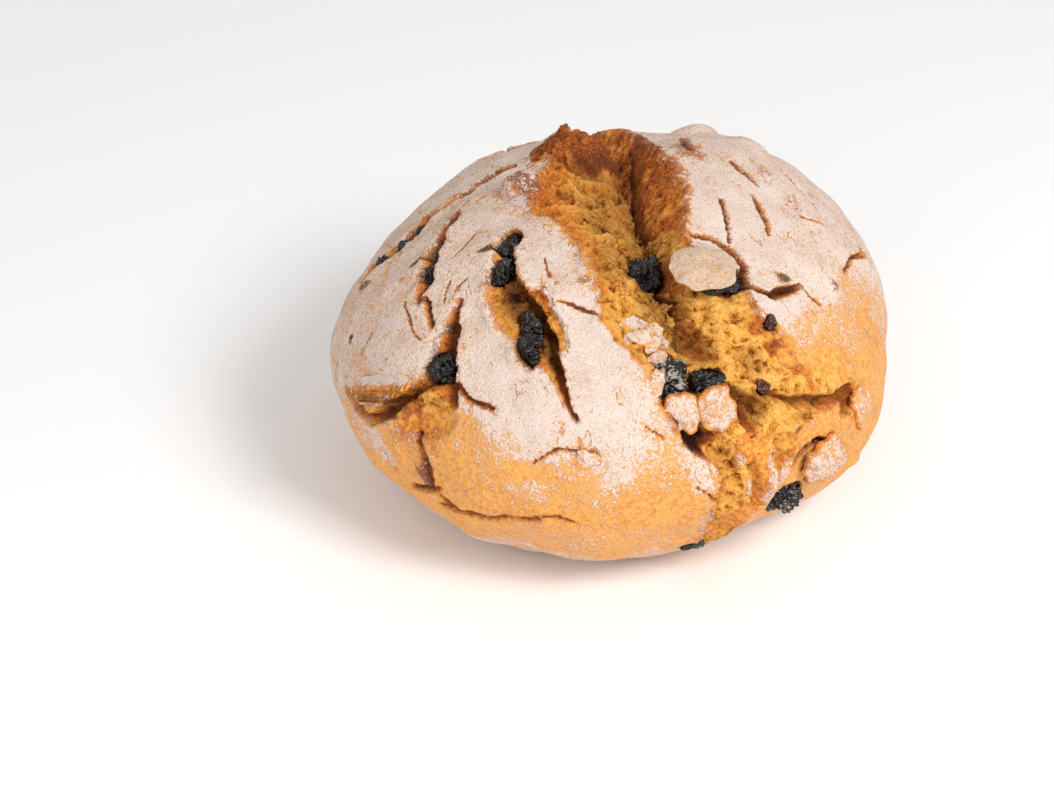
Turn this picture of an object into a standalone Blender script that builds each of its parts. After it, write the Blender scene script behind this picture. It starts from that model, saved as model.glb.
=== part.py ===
"""A round, split-topped raisin bread, modelled as solids at its real size.

The loaf is one closed body whose radius from its heart follows a rule: a flattened
ball, a few broad swells, one wide tear across the top, narrower cracks, pits and lumps.
Every place on the loaf is a direction from the heart, given in degrees as
(azimuth, elevation): azimuth 0 is the front (-Y) and 90 the right side (+X).
The raisins that show are bodies of their own, each in a pocket of the loaf.

Sizes are in millimetres while the rule works, and in metres on the finished meshes.
"""

import math

import bmesh
import bpy
import numpy as np

MM = 0.001

# The whole loaf
HALF_WIDTH = 103.3
HALF_DEPTH = 100.0
HALF_HEIGHT = 68.0
HEART_HEIGHT = 56.0
HEART_PLACE = (-0.1, 0.4, HEART_HEIGHT)
BALL_LEVEL = 7
LOAF_TRIANGLES = 8400

# Broad swells and hollows of the whole loaf: place, reach in degrees, height
SWELLS = (
    ((121, 40), 30, 8.5),
    ((-107, 25), 34, -8.5),
    ((-167, 55), 10, 7.0),
    ((156, 51), 13, -3.5),
    ((112, 29), 10, -2.0),
    ((-123, 40), 14, -4.0),
    ((-91, 0), 12, 3.0),
    ((-50, -44), 14, -2.0),
    ((75, -19), 17, 4.0),
    ((86, -6), 12, -3.5),
    ((42, -32), 20, -3.0),
    ((61, -36), 14, 3.0),
    ((-20, 30), 40, 1.5),
    ((-150, 5), 30, 2.5),
    ((160, -10), 34, -2.0),
)

# The tear: stations along it from the front foot over the top to the back, in degrees,
# each with the left crust edge, the crease and the right crust edge as angles off the
# tear's plane, then the left crust's step, the crease's depth and the right crust's step
TEAR_AZIMUTH = 22
TEAR_STATIONS = (
    (-34, 0, 2, 5, 0.0, 1.0, 0.0),
    (-15, -1, 1, 7, 2.5, 4.5, 0.0),
    (-4, -2, 1, 12, 4.0, 6.5, 0.0),
    (3, 0, 2, 16, 4.5, 7.0, 0.0),
    (9, -5, -2, 20, 4.0, 8.0, 0.5),
    (14, -8, -4, 25, 3.5, 10.0, 1.0),
    (22, -11, -4, 22, 3.5, 12.0, 1.0),
    (28, -12, -4, 20, 3.5, 13.0, 1.0),
    (34, -18, -4, 18, 3.0, 14.0, 2.0),
    (40, -21, -3, 18, 3.0, 16.0, 2.5),
    (46, -19, -1, 9, 3.5, 18.0, 2.5),
    (55, -18, 2, 8, 4.0, 20.0, 2.0),
    (67, -19, 6, 13, 3.5, 21.0, 2.0),
    (79, -23, 8, 19, 3.0, 21.0, 2.0),
    (89, -25, 10, 21, 2.5, 20.0, 2.0),
    (100, -22, 12, 20, 2.0, 18.0, 2.0),
    (110, -14, 14, 21, 2.0, 17.0, 2.0),
    (122, -2, 15, 22, 2.0, 15.0, 2.5),
    (135, 6, 15, 21, 2.5, 11.0, 2.5),
    (150, 9, 12, 16, 2.0, 5.0, 1.5),
    (162, 10, 11, 12, 0.0, 0.0, 0.0),
)
EDGE_WIDTH = 1.6
WALL_POWER = 1.15
SLOPE_POWER = 1.25

# Cracks: points with the half-width there, then the depth and the height of the lip
CRACKS = {
    "shoulder_groove": (((-91, 16, 1), (-94, 21, 3.2), (-97, 25, 3.8), (-101, 29, 4),
                         (-109, 33, 4), (-117, 36, 3.8), (-125, 41, 3.2), (-134, 49, 1.2)),
                        6.5, 1.2),
    "slit_upper": (((-93, 44, 0.8), (-85, 41, 2.8), (-78, 38, 3.4), (-71, 35, 3.2),
                    (-64, 32, 2.8), (-59, 28, 1)), 7.0, 0.9),
    "slit_upper_tail": (((-59, 30, 0.8), (-51, 26, 1.3)), 3.5, 0.3),
    "slit_lower": (((-48, 34, 0.9), (-46, 29, 2.8), (-43, 24, 4.2), (-40, 18, 5),
                    (-36, 14, 2)), 7.5, 1.0),
    "slit_lower_branch": (((-36, 18, 1), (-31, 16, 1.1), (-26, 15, 0.7)), 2.0, 0.3),
    "gash": (((-55, 54, 2.6), (-44, 46, 4.4), (-36, 40, 6.6), (-26, 35, 7.4),
              (-18, 29, 5.6), (-13, 24, 2.4)), 7.5, 1.6),
    "gash_crease": (((-36, 44, 1.2), (-29, 40, 2.2), (-22, 36, 2.6), (-17, 30, 2.4),
                     (-13, 24, 2), (-10, 19, 1.6), (-8, 16, 0.7)), 6.5, 0.0),
    "left_lip": (((-70, 1, 0.9), (-56, 2, 2.2), (-52, 6, 2.4), (-48, 11, 2.6),
                  (-42, 16, 1.5)), 5.5, 1.4),
    "lower_left": (((-43, 4, 1), (-41, 0, 2), (-40, -3, 2.2), (-38, -6, 1.2)), 5.0, 0.8),
    "lower_left_slit": (((-46, -10, 0.9), (-42, -9, 1.4), (-37, -5, 1)), 3.0, 0.4),
    "under_wrinkle": (((-38, -11, 1), (-28, -10, 1.3), (-15, -7, 0.9)), 1.6, 0.4),
    "top_flap_slit": (((150, 50, 1), (138, 57, 1.6), (127, 60, 1)), 3.2, 1.0),
    "right_slit": (((112, 54, 0.9), (104, 53, 1.4), (96, 50, 1)), 2.8, 0.4),
    "right_line": (((89, 51, 0.8), (82, 48, 1.2), (73, 44, 0.8)), 2.0, 0.3),
    "cap_line": (((80, 59, 0.8), (68, 55, 1.2), (56, 50, 0.8)), 2.2, 0.3),
    "cap_ring": (((44, 57, 0.9), (51, 53, 1.4), (53, 48, 1.6), (52, 43, 1.6),
                  (47, 39, 1.5)), 3.2, 0.5),
    "right_border": (((46, 38, 1.4), (51, 33, 1.7), (56, 33, 1.7), (61, 32, 1.2)), 3.6, 0.6),
    "right_edge_crack": (((96, 22, 1), (92, 21, 1.5), (79, 26, 1)), 3.0, 0.4),
    "right_edge_branch": (((92, 21, 0.8), (96, 15, 1)), 2.0, 0.3),
    "under_slot": (((36, 15, 1.4), (44, 11, 2.4), (50, 9, 2.4), (57, 8, 1.6)), 4.6, 0.9),
    "knob_gap": (((20, 20, 1), (19, 12, 1.2)), 4.5, 0.0),
    "left_dome_gap": (((12, 20, 0.9), (14, 15, 1.5), (16, 11, 2), (18, 8, 1)), 5.5, 0.0),
    "lump_gap": (((39, -1, 0.9), (42, 2, 1.4), (46, 2, 1.3), (52, -2, 1.1)), 3.6, 0.3),
    "back_crack_left": (((-150, 30, 0.9), (-158, 18, 2.4), (-162, 4, 2.6), (-160, -8, 1)),
                        5.5, 0.9),
    "back_crack_middle": (((172, 18, 0.8), (176, 6, 1.8), (171, -6, 0.9)), 3.5, 0.5),
    "back_crack_right": (((135, 8, 0.8), (128, -2, 2), (130, -14, 0.9)), 4.0, 0.6),
}

# Pits and lumps: place, half-sizes along and across, turn in degrees, depth or height
PITS = {
    "top_hollow": ((-166, 77), 10.5, 5.5, 10, 8.0),
    "bubble_high": ((24, 39), 3.4, 2.8, 0, 4.0),
    "bubble_tall": ((22, 30), 5.0, 8.0, 10, 6.0),
    "bubble_deep": ((30, 14), 5.5, 10.0, 25, 7.5),
    "side_pit": ((56, 7), 6.0, 5.5, 0, 6.5),
    "torn_patch": ((25, 4), 6.5, 7.0, 0, 1.8),
    "black_pit": ((18, 10), 3.8, 2.8, 0, 5.5),
    "left_window": ((-42, 9), 14.0, 8.0, 15, 3.2),
    "left_cave": ((-51, 8), 5.5, 2.6, 30, 5.0),
}
LUMPS = {
    "dusted_cap": ((36, 48.5), 12.5, 9.0, -10, 5.5),
    "knob_left": ((15, 16), 6.0, 6.5, 0, 5.0),
    "knob_right": ((25, 16), 7.0, 7.5, 0, 6.0),
    "dusted_lump": ((47, -4), 8.5, 7.0, 20, 5.5),
    "blister": ((-6, 8), 3.6, 3.2, 0, 1.4),
    "split_peak": ((-110, 61), 9.0, 7.0, 0, 4.0),
    "toasted_ridge": ((-170, 61), 14.0, 6.0, 0, 6.0),
    "torn_lip": ((10, 33), 8.0, 4.0, 10, 2.5),
    "side_ring": ((62, 3), 3.5, 8.0, 0, 2.5),
    "flap_peak": ((150, 41), 9.0, 4.5, 0, 3.5),
    "second_peak": ((127, 42), 10.0, 5.0, 0, 2.0),
    "side_knob": ((62, -12), 5.5, 4.0, 0, 2.5),
}

# Waves of the surface: wavelength and height on the crust, and in the tear
CRUST_WAVES = ((42, 1.0), (17, 0.4))
CRUMB_WAVES = ((13, 0.9), (6.5, 0.5))
WAVES_PER_SIZE = 14
WAVE_SEED = 31

# Raisins: place, half-sizes (across, along, thick), turn in degrees, how far the middle sinks
POCKET_GAP = 0.35
RAISIN_SEGMENTS = 10
RAISIN_RINGS = 6
RAISIN_WRINKLE = 0.05
RAISINS = {
    "raisin_shoulder_low": ((-93, 20.5), (3.2, 3.6, 3.2), 10, -4.2),
    "raisin_shoulder_mid": ((-96, 25), (3.0, 3.4, 3.0), -20, -4.2),
    "raisin_shoulder_high": ((-101, 29.5), (3.2, 3.8, 3.0), -40, -4.2),
    "raisin_slit_high": ((-76, 36.5), (3.2, 4.2, 3.0), -40, -1.8),
    "raisin_slit_low": ((-68, 32.8), (3.4, 4.2, 3.0), -30, -1.4),
    "raisin_gash_top": ((-52.5, 52.5), (4.6, 5.4, 3.8), 25, 0.0),
    "raisin_gash_upper": ((-44, 44.5), (3.8, 6.0, 3.6), -15, 0.0),
    "raisin_gash_lower": ((-24.5, 33), (3.8, 6.4, 3.6), 35, 0.0),
    "raisin_gash_tail": ((-22.5, 28), (2.9, 6.0, 3.0), 42, 2.0),
    "raisin_corner": ((-43, 18.6), (5.4, 5.8, 4.4), -20, 2.4),
    "raisin_crease": ((22, 55.5), (6.2, 8.0, 5.4), 5, 1.0),
    "raisin_under_cap": ((41, 42.5), (8.5, 5.6, 4.2), -30, 1.4),
    "raisin_dusted": ((14.5, 23.3), (6.6, 8.0, 4.6), 15, 0.6),
    "raisin_beside_knobs": ((24, 20.8), (6.0, 3.8, 4.2), 0, 0.8),
    "raisin_front_right": ((39.5, -10.5), (6.8, 7.2, 5.8), -40, 2.0),
    "raisin_foot": ((21, -25), (5.0, 3.6, 3.6), -20, 2.2),
    "raisin_scrap_red": ((36, 16.5), (2.2, 3.0, 2.2), 0, 0.8),
    "raisin_scrap_purple": ((44.5, 29), (2.2, 2.7, 2.0), -30, 0.8),
}

# Finishes: colour as red, green, blue in linear light, then roughness
LOAF_COLOUR = (0.62, 0.40, 0.20, 1.0)
LOAF_ROUGHNESS = 0.85
RAISIN_COLOUR = (0.022, 0.016, 0.018, 1.0)
RAISIN_ROUGHNESS = 0.45


def direction(azimuth, elevation):
    """Unit vector from the heart toward a place given in degrees."""
    a = math.radians(azimuth)
    e = math.radians(elevation)
    return np.array((math.sin(a) * math.cos(e), -math.cos(a) * math.cos(e), math.sin(e)))


def tangents(normal):
    """Unit vectors to the right and up the surface at a direction."""
    right = np.cross((0.0, 0.0, 1.0), normal)
    right /= np.linalg.norm(right)
    return right, np.cross(normal, right)


def smooth(low, high, values):
    """Rise from 0 at low to 1 at high with a soft start and end."""
    t = np.clip((values - low) / (high - low), 0.0, 1.0)
    return t * t * (3.0 - 2.0 * t)


def waves(points, wavelength, rng):
    """Sum of sine waves in random directions, about -1 to 1, at points in millimetres."""
    total = np.zeros(len(points))
    for _ in range(WAVES_PER_SIZE):
        axis = rng.normal(size=3)
        axis *= 2.0 * math.pi / (wavelength * np.linalg.norm(axis))
        total += np.sin(points @ axis + rng.uniform(0.0, 2.0 * math.pi))
    return total * math.sqrt(2.0 / WAVES_PER_SIZE) * 0.6


def ball_radius(dirs):
    """Distance from the heart to the flattened ball with its broad swells."""
    scale = np.array((HALF_WIDTH, HALF_DEPTH, HALF_HEIGHT))
    radius = 1.0 / np.linalg.norm(dirs / scale, axis=1)
    for place, reach, height in SWELLS:
        angle = np.degrees(np.arccos(np.clip(dirs @ direction(*place), -1.0, 1.0)))
        radius += height * np.exp(-((angle / reach) ** 2))
    return radius


def tear_depth(dirs, radius):
    """Depth of the tear, and how much of the torn crumb shows, at each direction."""
    front = direction(TEAR_AZIMUTH, 0)
    side = direction(TEAR_AZIMUTH + 90, 0)
    along = np.degrees(np.arctan2(dirs[:, 2], dirs @ front))
    across = np.degrees(np.arcsin(np.clip(dirs @ side, -1.0, 1.0)))
    table = np.array(TEAR_STATIONS)
    left, crease, right, left_step, deep, right_step = (
        np.interp(along, table[:, 0], table[:, column]) for column in range(1, 7)
    )
    inside_left = smooth(0.0, EDGE_WIDTH, np.radians(across - left) * radius)
    inside_right = smooth(0.0, EDGE_WIDTH, np.radians(right - across) * radius)
    to_left = np.clip((across - left) / (crease - left), 0.0, 1.0)
    to_right = np.clip((right - across) / (right - crease), 0.0, 1.0)
    left_slope = left_step + (deep - left_step) * to_left**SLOPE_POWER
    right_slope = right_step + (deep - right_step) * to_right**WALL_POWER
    depth = np.where(across < crease, left_slope, right_slope)
    shown = inside_left * inside_right * smooth(0.0, 2.0, deep)
    return depth * shown, shown


def crack_relief(dirs, radius, points, depth, lip):
    """Change of radius made by one crack with raised lips."""
    widest = max(point[2] for point in points)
    path = [direction(azimuth, elevation) for azimuth, elevation, _ in points]
    nearest = np.full(len(dirs), 1e9)
    width = np.ones(len(dirs))
    for start, end, first, second in zip(path, path[1:], points, points[1:]):
        run = end - start
        share = np.clip((dirs - start) @ run / (run @ run), 0.0, 1.0)
        gap = np.linalg.norm(dirs - start - share[:, None] * run, axis=1) * radius
        closer = gap < nearest
        nearest = np.where(closer, gap, nearest)
        width = np.where(closer, first[2] + (second[2] - first[2]) * share, width)
    x = nearest / width
    narrowing = (width / widest) ** 0.6
    groove = depth * narrowing * np.clip(1.0 - x**2.4, 0.0, 1.0)
    rim = lip * narrowing * np.exp(-(((nearest - width) / 2.6 - 0.4) ** 2)) * smooth(0.9, 1.2, x)
    return rim - groove


def bowl(dirs, radius, place, half_along, half_across, turn):
    """Share of a soft oval bowl: 1 at its middle and 0 from its rim outward."""
    middle = direction(*place)
    right, up = tangents(middle)
    angle = math.radians(turn)
    x = (dirs @ right) * radius
    y = (dirs @ up) * radius
    along = (x * math.cos(angle) + y * math.sin(angle)) / half_along
    across = (y * math.cos(angle) - x * math.sin(angle)) / half_across
    inside = np.clip(1.0 - along**2 - across**2, 0.0, 1.0)
    return np.where(dirs @ middle > 0.0, inside**0.9, 0.0)


def loaf_radius(dirs):
    """Distance from the heart to the finished surface, in millimetres."""
    radius = ball_radius(dirs)
    base = radius.copy()
    rng = np.random.default_rng(WAVE_SEED)
    points = dirs * base[:, None]
    depth, shown = tear_depth(dirs, base)
    for wavelength, height in CRUST_WAVES:
        radius += height * (1.0 - shown) * waves(points, wavelength, rng)
    for wavelength, height in CRUMB_WAVES:
        radius += height * shown * waves(points, wavelength, rng)
    radius -= depth
    for place, half_along, half_across, turn, height in LUMPS.values():
        radius += height * bowl(dirs, base, place, half_along, half_across, turn)
    for place, half_along, half_across, turn, deep in PITS.values():
        radius -= deep * bowl(dirs, base, place, half_along, half_across, turn)
    for points_along, deep, lip in CRACKS.values():
        radius += crack_relief(dirs, base, points_along, deep, lip)
    foot = HEART_HEIGHT / np.maximum(-dirs[:, 2], 1e-6)
    return np.minimum(radius, foot)


def finish(name, colour, roughness):
    """Principled material of one colour."""
    material = bpy.data.materials.new(name)
    material.use_nodes = True
    shader = material.node_tree.nodes["Principled BSDF"]
    shader.inputs["Base Color"].default_value = colour
    shader.inputs["Roughness"].default_value = roughness
    return material


def make_object(name, mesh, collection, material):
    """Put a mesh in a collection as an object with one material, shaded smooth."""
    thing = bpy.data.objects.new(name, mesh)
    collection.objects.link(thing)
    mesh.materials.append(material)
    mesh.shade_smooth()
    return thing


def make_loaf(collection, cutters, material):
    """The loaf: a ball moved out to the loaf's radius, thinned, with its raisin pockets cut."""
    shape = bmesh.new()
    bmesh.ops.create_icosphere(shape, subdivisions=BALL_LEVEL, radius=1.0)
    mesh = bpy.data.meshes.new("loaf")
    shape.to_mesh(mesh)
    shape.free()
    dirs = np.empty(len(mesh.vertices) * 3)
    mesh.vertices.foreach_get("co", dirs)
    dirs = dirs.reshape(-1, 3)
    dirs /= np.linalg.norm(dirs, axis=1)[:, None]
    places = dirs * loaf_radius(dirs)[:, None]
    places += HEART_PLACE
    mesh.vertices.foreach_set("co", (places * MM).ravel())
    mesh.update()
    loaf = make_object("loaf", mesh, collection, material)
    thin = loaf.modifiers.new("thin_out", "DECIMATE")
    thin.ratio = LOAF_TRIANGLES / len(mesh.polygons)
    pockets = loaf.modifiers.new("raisin_pockets", "BOOLEAN")
    pockets.operation = "DIFFERENCE"
    pockets.operand_type = "COLLECTION"
    pockets.collection = cutters
    return loaf


def raisin_mesh(name, half_sizes, turn, place, sink, grow):
    """A wrinkled oval laid in the loaf's surface, grown evenly by a few tenths if wanted."""
    outward = direction(*place)
    right, up = tangents(outward)
    middle = outward * (loaf_radius(outward[None, :])[0] - sink)
    angle = math.radians(turn)
    across = right * math.cos(angle) + up * math.sin(angle)
    along = up * math.cos(angle) - right * math.sin(angle)
    shape = bmesh.new()
    bmesh.ops.create_uvsphere(
        shape, u_segments=RAISIN_SEGMENTS, v_segments=RAISIN_RINGS, radius=1.0
    )
    for vert in shape.verts:
        unit = np.array(vert.co)
        phase = 5.0 * math.atan2(unit[1], unit[0]) + 3.0 * unit[2] + place[0]
        wrinkle = 1.0 + RAISIN_WRINKLE * math.sin(phase) * (1.0 - unit[2] ** 2)
        local = unit * wrinkle * np.array(half_sizes) + unit * grow
        spot = middle + across * local[0] + along * local[1] + outward * local[2]
        vert.co = (spot + HEART_PLACE) * MM
    mesh = bpy.data.meshes.new(name)
    shape.to_mesh(mesh)
    shape.free()
    return mesh


def make_raisins(collection, cutters, material):
    """Each raisin, and the slightly larger cutter of its pocket."""
    for name, (place, half_sizes, turn, sink) in RAISINS.items():
        fruit = raisin_mesh(name, half_sizes, turn, place, sink, 0.0)
        make_object(name, fruit, collection, material)
        hollow = raisin_mesh(name + "_pocket", half_sizes, turn, place, sink, POCKET_GAP)
        cutter = make_object(name + "_pocket", hollow, cutters, material)
        cutter.display_type = "WIRE"
        cutter.hide_render = True


def main():
    """Build the bread from an empty scene."""
    for thing in list(bpy.data.objects):
        bpy.data.objects.remove(thing, do_unlink=True)
    bread = bpy.data.collections.new("raisin_corn_bread")
    cutters = bpy.data.collections.new("cutters")
    bpy.context.scene.collection.children.link(bread)
    bpy.context.scene.collection.children.link(cutters)
    crust = finish("crust", LOAF_COLOUR, LOAF_ROUGHNESS)
    fruit = finish("raisin", RAISIN_COLOUR, RAISIN_ROUGHNESS)
    make_raisins(bread, cutters, fruit)
    make_loaf(bread, cutters, crust)


main()
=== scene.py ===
"""Looks of a round, split-topped raisin corn bread.

The loaf is a ball moved out by the same rule as its solid: a flattened ball, broad
swells, one wide tear over the top, cracks, pits and lumps, with ragged edges, crumb
and flour added. The raisins lie in their pockets as wrinkled fruit. Every place on the
loaf is a direction from its heart, in degrees as (azimuth, elevation): azimuth 0 is
the front (-Y) and 90 the right side (+X). The rule works in millimetres, and the
finished meshes are in metres.
"""

import logging
import math
from dataclasses import dataclass, field
from enum import Enum

import bmesh
import bpy
import numpy as np
from bpy.types import Material, Mesh, Node, NodeSocket, NodeTree, Object
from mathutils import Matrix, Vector


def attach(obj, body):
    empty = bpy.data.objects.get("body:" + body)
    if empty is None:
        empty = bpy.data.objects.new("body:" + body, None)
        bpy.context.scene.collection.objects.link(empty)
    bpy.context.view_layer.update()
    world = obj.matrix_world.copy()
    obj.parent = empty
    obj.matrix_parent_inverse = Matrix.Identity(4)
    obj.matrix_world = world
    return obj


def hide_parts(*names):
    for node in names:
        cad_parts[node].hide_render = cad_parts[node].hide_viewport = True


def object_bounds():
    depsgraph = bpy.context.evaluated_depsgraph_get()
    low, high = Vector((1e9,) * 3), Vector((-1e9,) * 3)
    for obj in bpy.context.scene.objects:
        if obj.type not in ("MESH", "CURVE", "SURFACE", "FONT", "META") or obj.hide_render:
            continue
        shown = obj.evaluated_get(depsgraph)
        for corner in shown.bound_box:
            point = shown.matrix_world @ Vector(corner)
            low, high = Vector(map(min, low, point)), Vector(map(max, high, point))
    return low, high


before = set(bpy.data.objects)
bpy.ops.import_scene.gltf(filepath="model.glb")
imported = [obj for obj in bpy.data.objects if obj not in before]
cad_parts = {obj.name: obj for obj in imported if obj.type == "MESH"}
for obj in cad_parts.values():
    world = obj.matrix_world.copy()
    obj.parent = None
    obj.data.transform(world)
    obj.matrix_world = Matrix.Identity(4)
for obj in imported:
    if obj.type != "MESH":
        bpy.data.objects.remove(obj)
CAD_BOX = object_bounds()

MM = 0.001
MEAN_RADIUS = 85.0  # of the loaf about its heart, in millimetres
SQUARE_CM_IN_SQUARE_M = 1.0e4
FOOD_IOR = 1.45
BODY = "root"
log = logging.getLogger("bread")

Angles = tuple[float, float]
Stops = tuple[tuple[float, str], ...]


class Slot(Enum):
    """Material slots of the record."""

    CRUST = "crust"
    RAISIN = "raisin"


class Mask(Enum):
    """Attributes of the meshes' points, most of which the finishes read."""

    FLOUR = "flour"
    CRUMB = "crumb"
    TOAST = "toast"
    # Painted shade: darkening where shade falls in hollows, cracks, the tear's crease, pockets and under
    # flaps
    PAINTED_SHADE = "hollow"
    FRUIT = "fruit"
    LIFTED = "lifted"
    # Painted shade in the crumb's pores and low grain
    PORE_SHADE = "cavity"
    ACROSS = "across"
    ALONG = "along"
    CREASED = "creased"


Sockets = dict[Mask, NodeSocket]


# ---------------------------------------------------------------- small helpers


def linear(hex_colour: str) -> tuple[float, float, float, float]:
    """Turn an sRGB hex colour into linear light.

    Args:
        hex_colour: Six hex digits, with or without a leading #.

    Returns:
        Red, green, blue and alpha in linear light.
    """
    digits = hex_colour.lstrip("#")
    channels = [int(digits[i : i + 2], 16) / 255.0 for i in (0, 2, 4)]
    light = [c / 12.92 if c <= 0.04045 else ((c + 0.055) / 1.055) ** 2.4 for c in channels]
    return light[0], light[1], light[2], 1.0


def add_node(
    tree: NodeTree,
    kind: str,
    inputs: dict[str | int, object] | None = None,
    stops: Stops = (),
    **settings: object,
) -> Node:
    """Add a node, set its properties, and fill or link its inputs.

    Args:
        tree: The node tree that takes the node.
        kind: The node's type name.
        inputs: Input name or index to a value, or to the socket that feeds it.
        stops: Position and hex colour of each stop of a colour ramp, in rising order.
        **settings: Properties of the node itself.

    Returns:
        The new node.
    """
    node = tree.nodes.new(kind)
    for name, value in settings.items():
        setattr(node, name, value)
    for key, value in (inputs or {}).items():
        if isinstance(value, NodeSocket):
            tree.links.new(value, node.inputs[key])
        else:
            node.inputs[key].default_value = value
    if stops:
        elements = node.color_ramp.elements
        elements[0].position, elements[-1].position = stops[0][0], stops[-1][0]
        for place, _ in stops[1:-1]:
            elements.new(place)
        for element, (_, colour) in zip(elements, stops):
            element.color = linear(colour)
    return node


def direction(place: Angles) -> np.ndarray:
    """Unit vector from the heart toward a place.

    Args:
        place: Azimuth and elevation in degrees.

    Returns:
        The unit vector.
    """
    azimuth, elevation = math.radians(place[0]), math.radians(place[1])
    level = math.cos(elevation)
    return np.array((math.sin(azimuth) * level, -math.cos(azimuth) * level, math.sin(elevation)))


def tangents(normal: np.ndarray) -> tuple[np.ndarray, np.ndarray]:
    """Unit vectors to the right and up the surface at a direction.

    Args:
        normal: The direction, as a unit vector.

    Returns:
        The vector to the right and the vector up.
    """
    right = np.cross((0.0, 0.0, 1.0), normal)
    right /= np.linalg.norm(right)
    return right, np.cross(normal, right)


def smooth(low: float, high: float, values: np.ndarray) -> np.ndarray:
    """Rise from 0 at low to 1 at high with a soft start and end.

    Args:
        low: The value that gives 0.
        high: The value that gives 1, above or below low.
        values: The values.

    Returns:
        A share of 0 to 1 for each value.
    """
    t = np.clip((values - low) / (high - low), 0.0, 1.0)
    return t * t * (3.0 - 2.0 * t)


def waves(points: np.ndarray, wavelength: float, rng: np.random.Generator, count: int = 14) -> np.ndarray:
    """Sum of sine waves in random directions.

    Args:
        points: Places in millimetres, one a row.
        wavelength: Length of the waves in millimetres.
        rng: Seeded source of their directions.
        count: How many waves are summed.

    Returns:
        A height of about -1 to 1 for each point.
    """
    total = np.zeros(len(points))
    for _ in range(count):
        axis = rng.normal(size=3)
        axis *= 2.0 * math.pi / (wavelength * np.linalg.norm(axis))
        total += np.sin(points @ axis + rng.uniform(0.0, 2.0 * math.pi))
    return total * math.sqrt(2.0 / count) * 0.6


# ---------------------------------------------------------------- the loaf's rule


@dataclass(frozen=True)
class Swell:
    """A broad swell or hollow of the whole loaf."""

    place: Angles
    reach: float
    height: float


@dataclass(frozen=True)
class Crack:
    """A crack: points of azimuth, elevation and half-width, its depth, its lip's height and looks."""

    points: tuple[tuple[float, float, float], ...]
    depth: float
    lip: float = 0.3
    toast: float = 0.7
    crumb: float = 0.0

    def near(self, dirs: np.ndarray) -> np.ndarray:
        """Find the directions that the crack can reach.

        Args:
            dirs: Unit directions, one a row.

        Returns:
            Their row numbers.
        """
        path = np.array([direction(point[:2]) for point in self.points])
        middle = path.mean(axis=0)
        middle /= np.linalg.norm(middle)
        beside = 0.16  # radians past the path's ends, wider than any lip
        reach = float(np.arccos(np.clip(path @ middle, -1.0, 1.0)).max()) + beside
        return np.nonzero(dirs @ middle > math.cos(reach))[0]

    def distance(self, dirs: np.ndarray, radius: np.ndarray) -> tuple[np.ndarray, np.ndarray]:
        """Distance to the crack's path and its half-width there.

        Args:
            dirs: Unit directions, one a row.
            radius: Distance from the heart of each direction's surface.

        Returns:
            The distance and the half-width, both in millimetres.
        """
        nearest = np.full(len(dirs), 1e9)
        width = np.ones(len(dirs))
        path = [direction(point[:2]) for point in self.points]
        for start, end, first, second in zip(path, path[1:], self.points, self.points[1:]):
            run = end - start
            share = np.clip((dirs - start) @ run / (run @ run), 0.0, 1.0)
            gap = np.linalg.norm(dirs - start - share[:, None] * run, axis=1) * radius
            closer = gap < nearest
            nearest = np.where(closer, gap, nearest)
            width = np.where(closer, first[2] + (second[2] - first[2]) * share, width)
        return nearest, width

    def widest(self) -> float:
        """The crack's greatest half-width in millimetres."""
        return max(point[2] for point in self.points)

    def rims(self, distance: np.ndarray, width: np.ndarray) -> tuple[np.ndarray, np.ndarray]:
        """How the crack narrows toward its ends, and the lip along its edges.

        Args:
            distance: Distance to the crack's path in millimetres.
            width: The crack's half-width there.

        Returns:
            The share of the full depth, and the share of the lip's height.
        """
        narrowing = (width / self.widest()) ** 0.6
        lip = np.exp(-(((distance - width) / 2.6 - 0.4) ** 2)) * smooth(0.9, 1.2, distance / width)
        return narrowing, lip


@dataclass(frozen=True)
class Oval:
    """An oval patch of the loaf: place, half-sizes along and across in millimetres, and turn."""

    place: Angles
    along: float
    across: float
    turn: float

    def frame(self, dirs: np.ndarray, radius: np.ndarray) -> tuple[np.ndarray, np.ndarray]:
        """Place directions in the oval's own frame, where its rim is at 1 from its middle.

        Args:
            dirs: Unit directions, one a row.
            radius: Distance from the heart of each direction's surface.

        Returns:
            The places along and across the oval.
        """
        right, up = tangents(direction(self.place))
        angle = math.radians(self.turn)
        x = (dirs @ right) * radius
        y = (dirs @ up) * radius
        along = (x * math.cos(angle) + y * math.sin(angle)) / self.along
        across = (y * math.cos(angle) - x * math.sin(angle)) / self.across
        return along, across


@dataclass(frozen=True)
class Bowl(Oval):
    """An oval pit or lump: its depth or height in millimetres, and its flour and toast."""

    size: float
    flour: float = 0.0
    toast: float = 0.0

    def share(self, dirs: np.ndarray, radius: np.ndarray) -> np.ndarray:
        """How far each direction is inside the oval.

        Args:
            dirs: Unit directions, one a row.
            radius: Distance from the heart of each direction's surface.

        Returns:
            1 at the oval's middle, and 0 from its rim outward.
        """
        along, across = self.frame(dirs, radius)
        inside = np.clip(1.0 - along**2 - across**2, 0.0, 1.0)
        return np.where(dirs @ direction(self.place) > 0.0, inside**0.9, 0.0)


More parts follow.
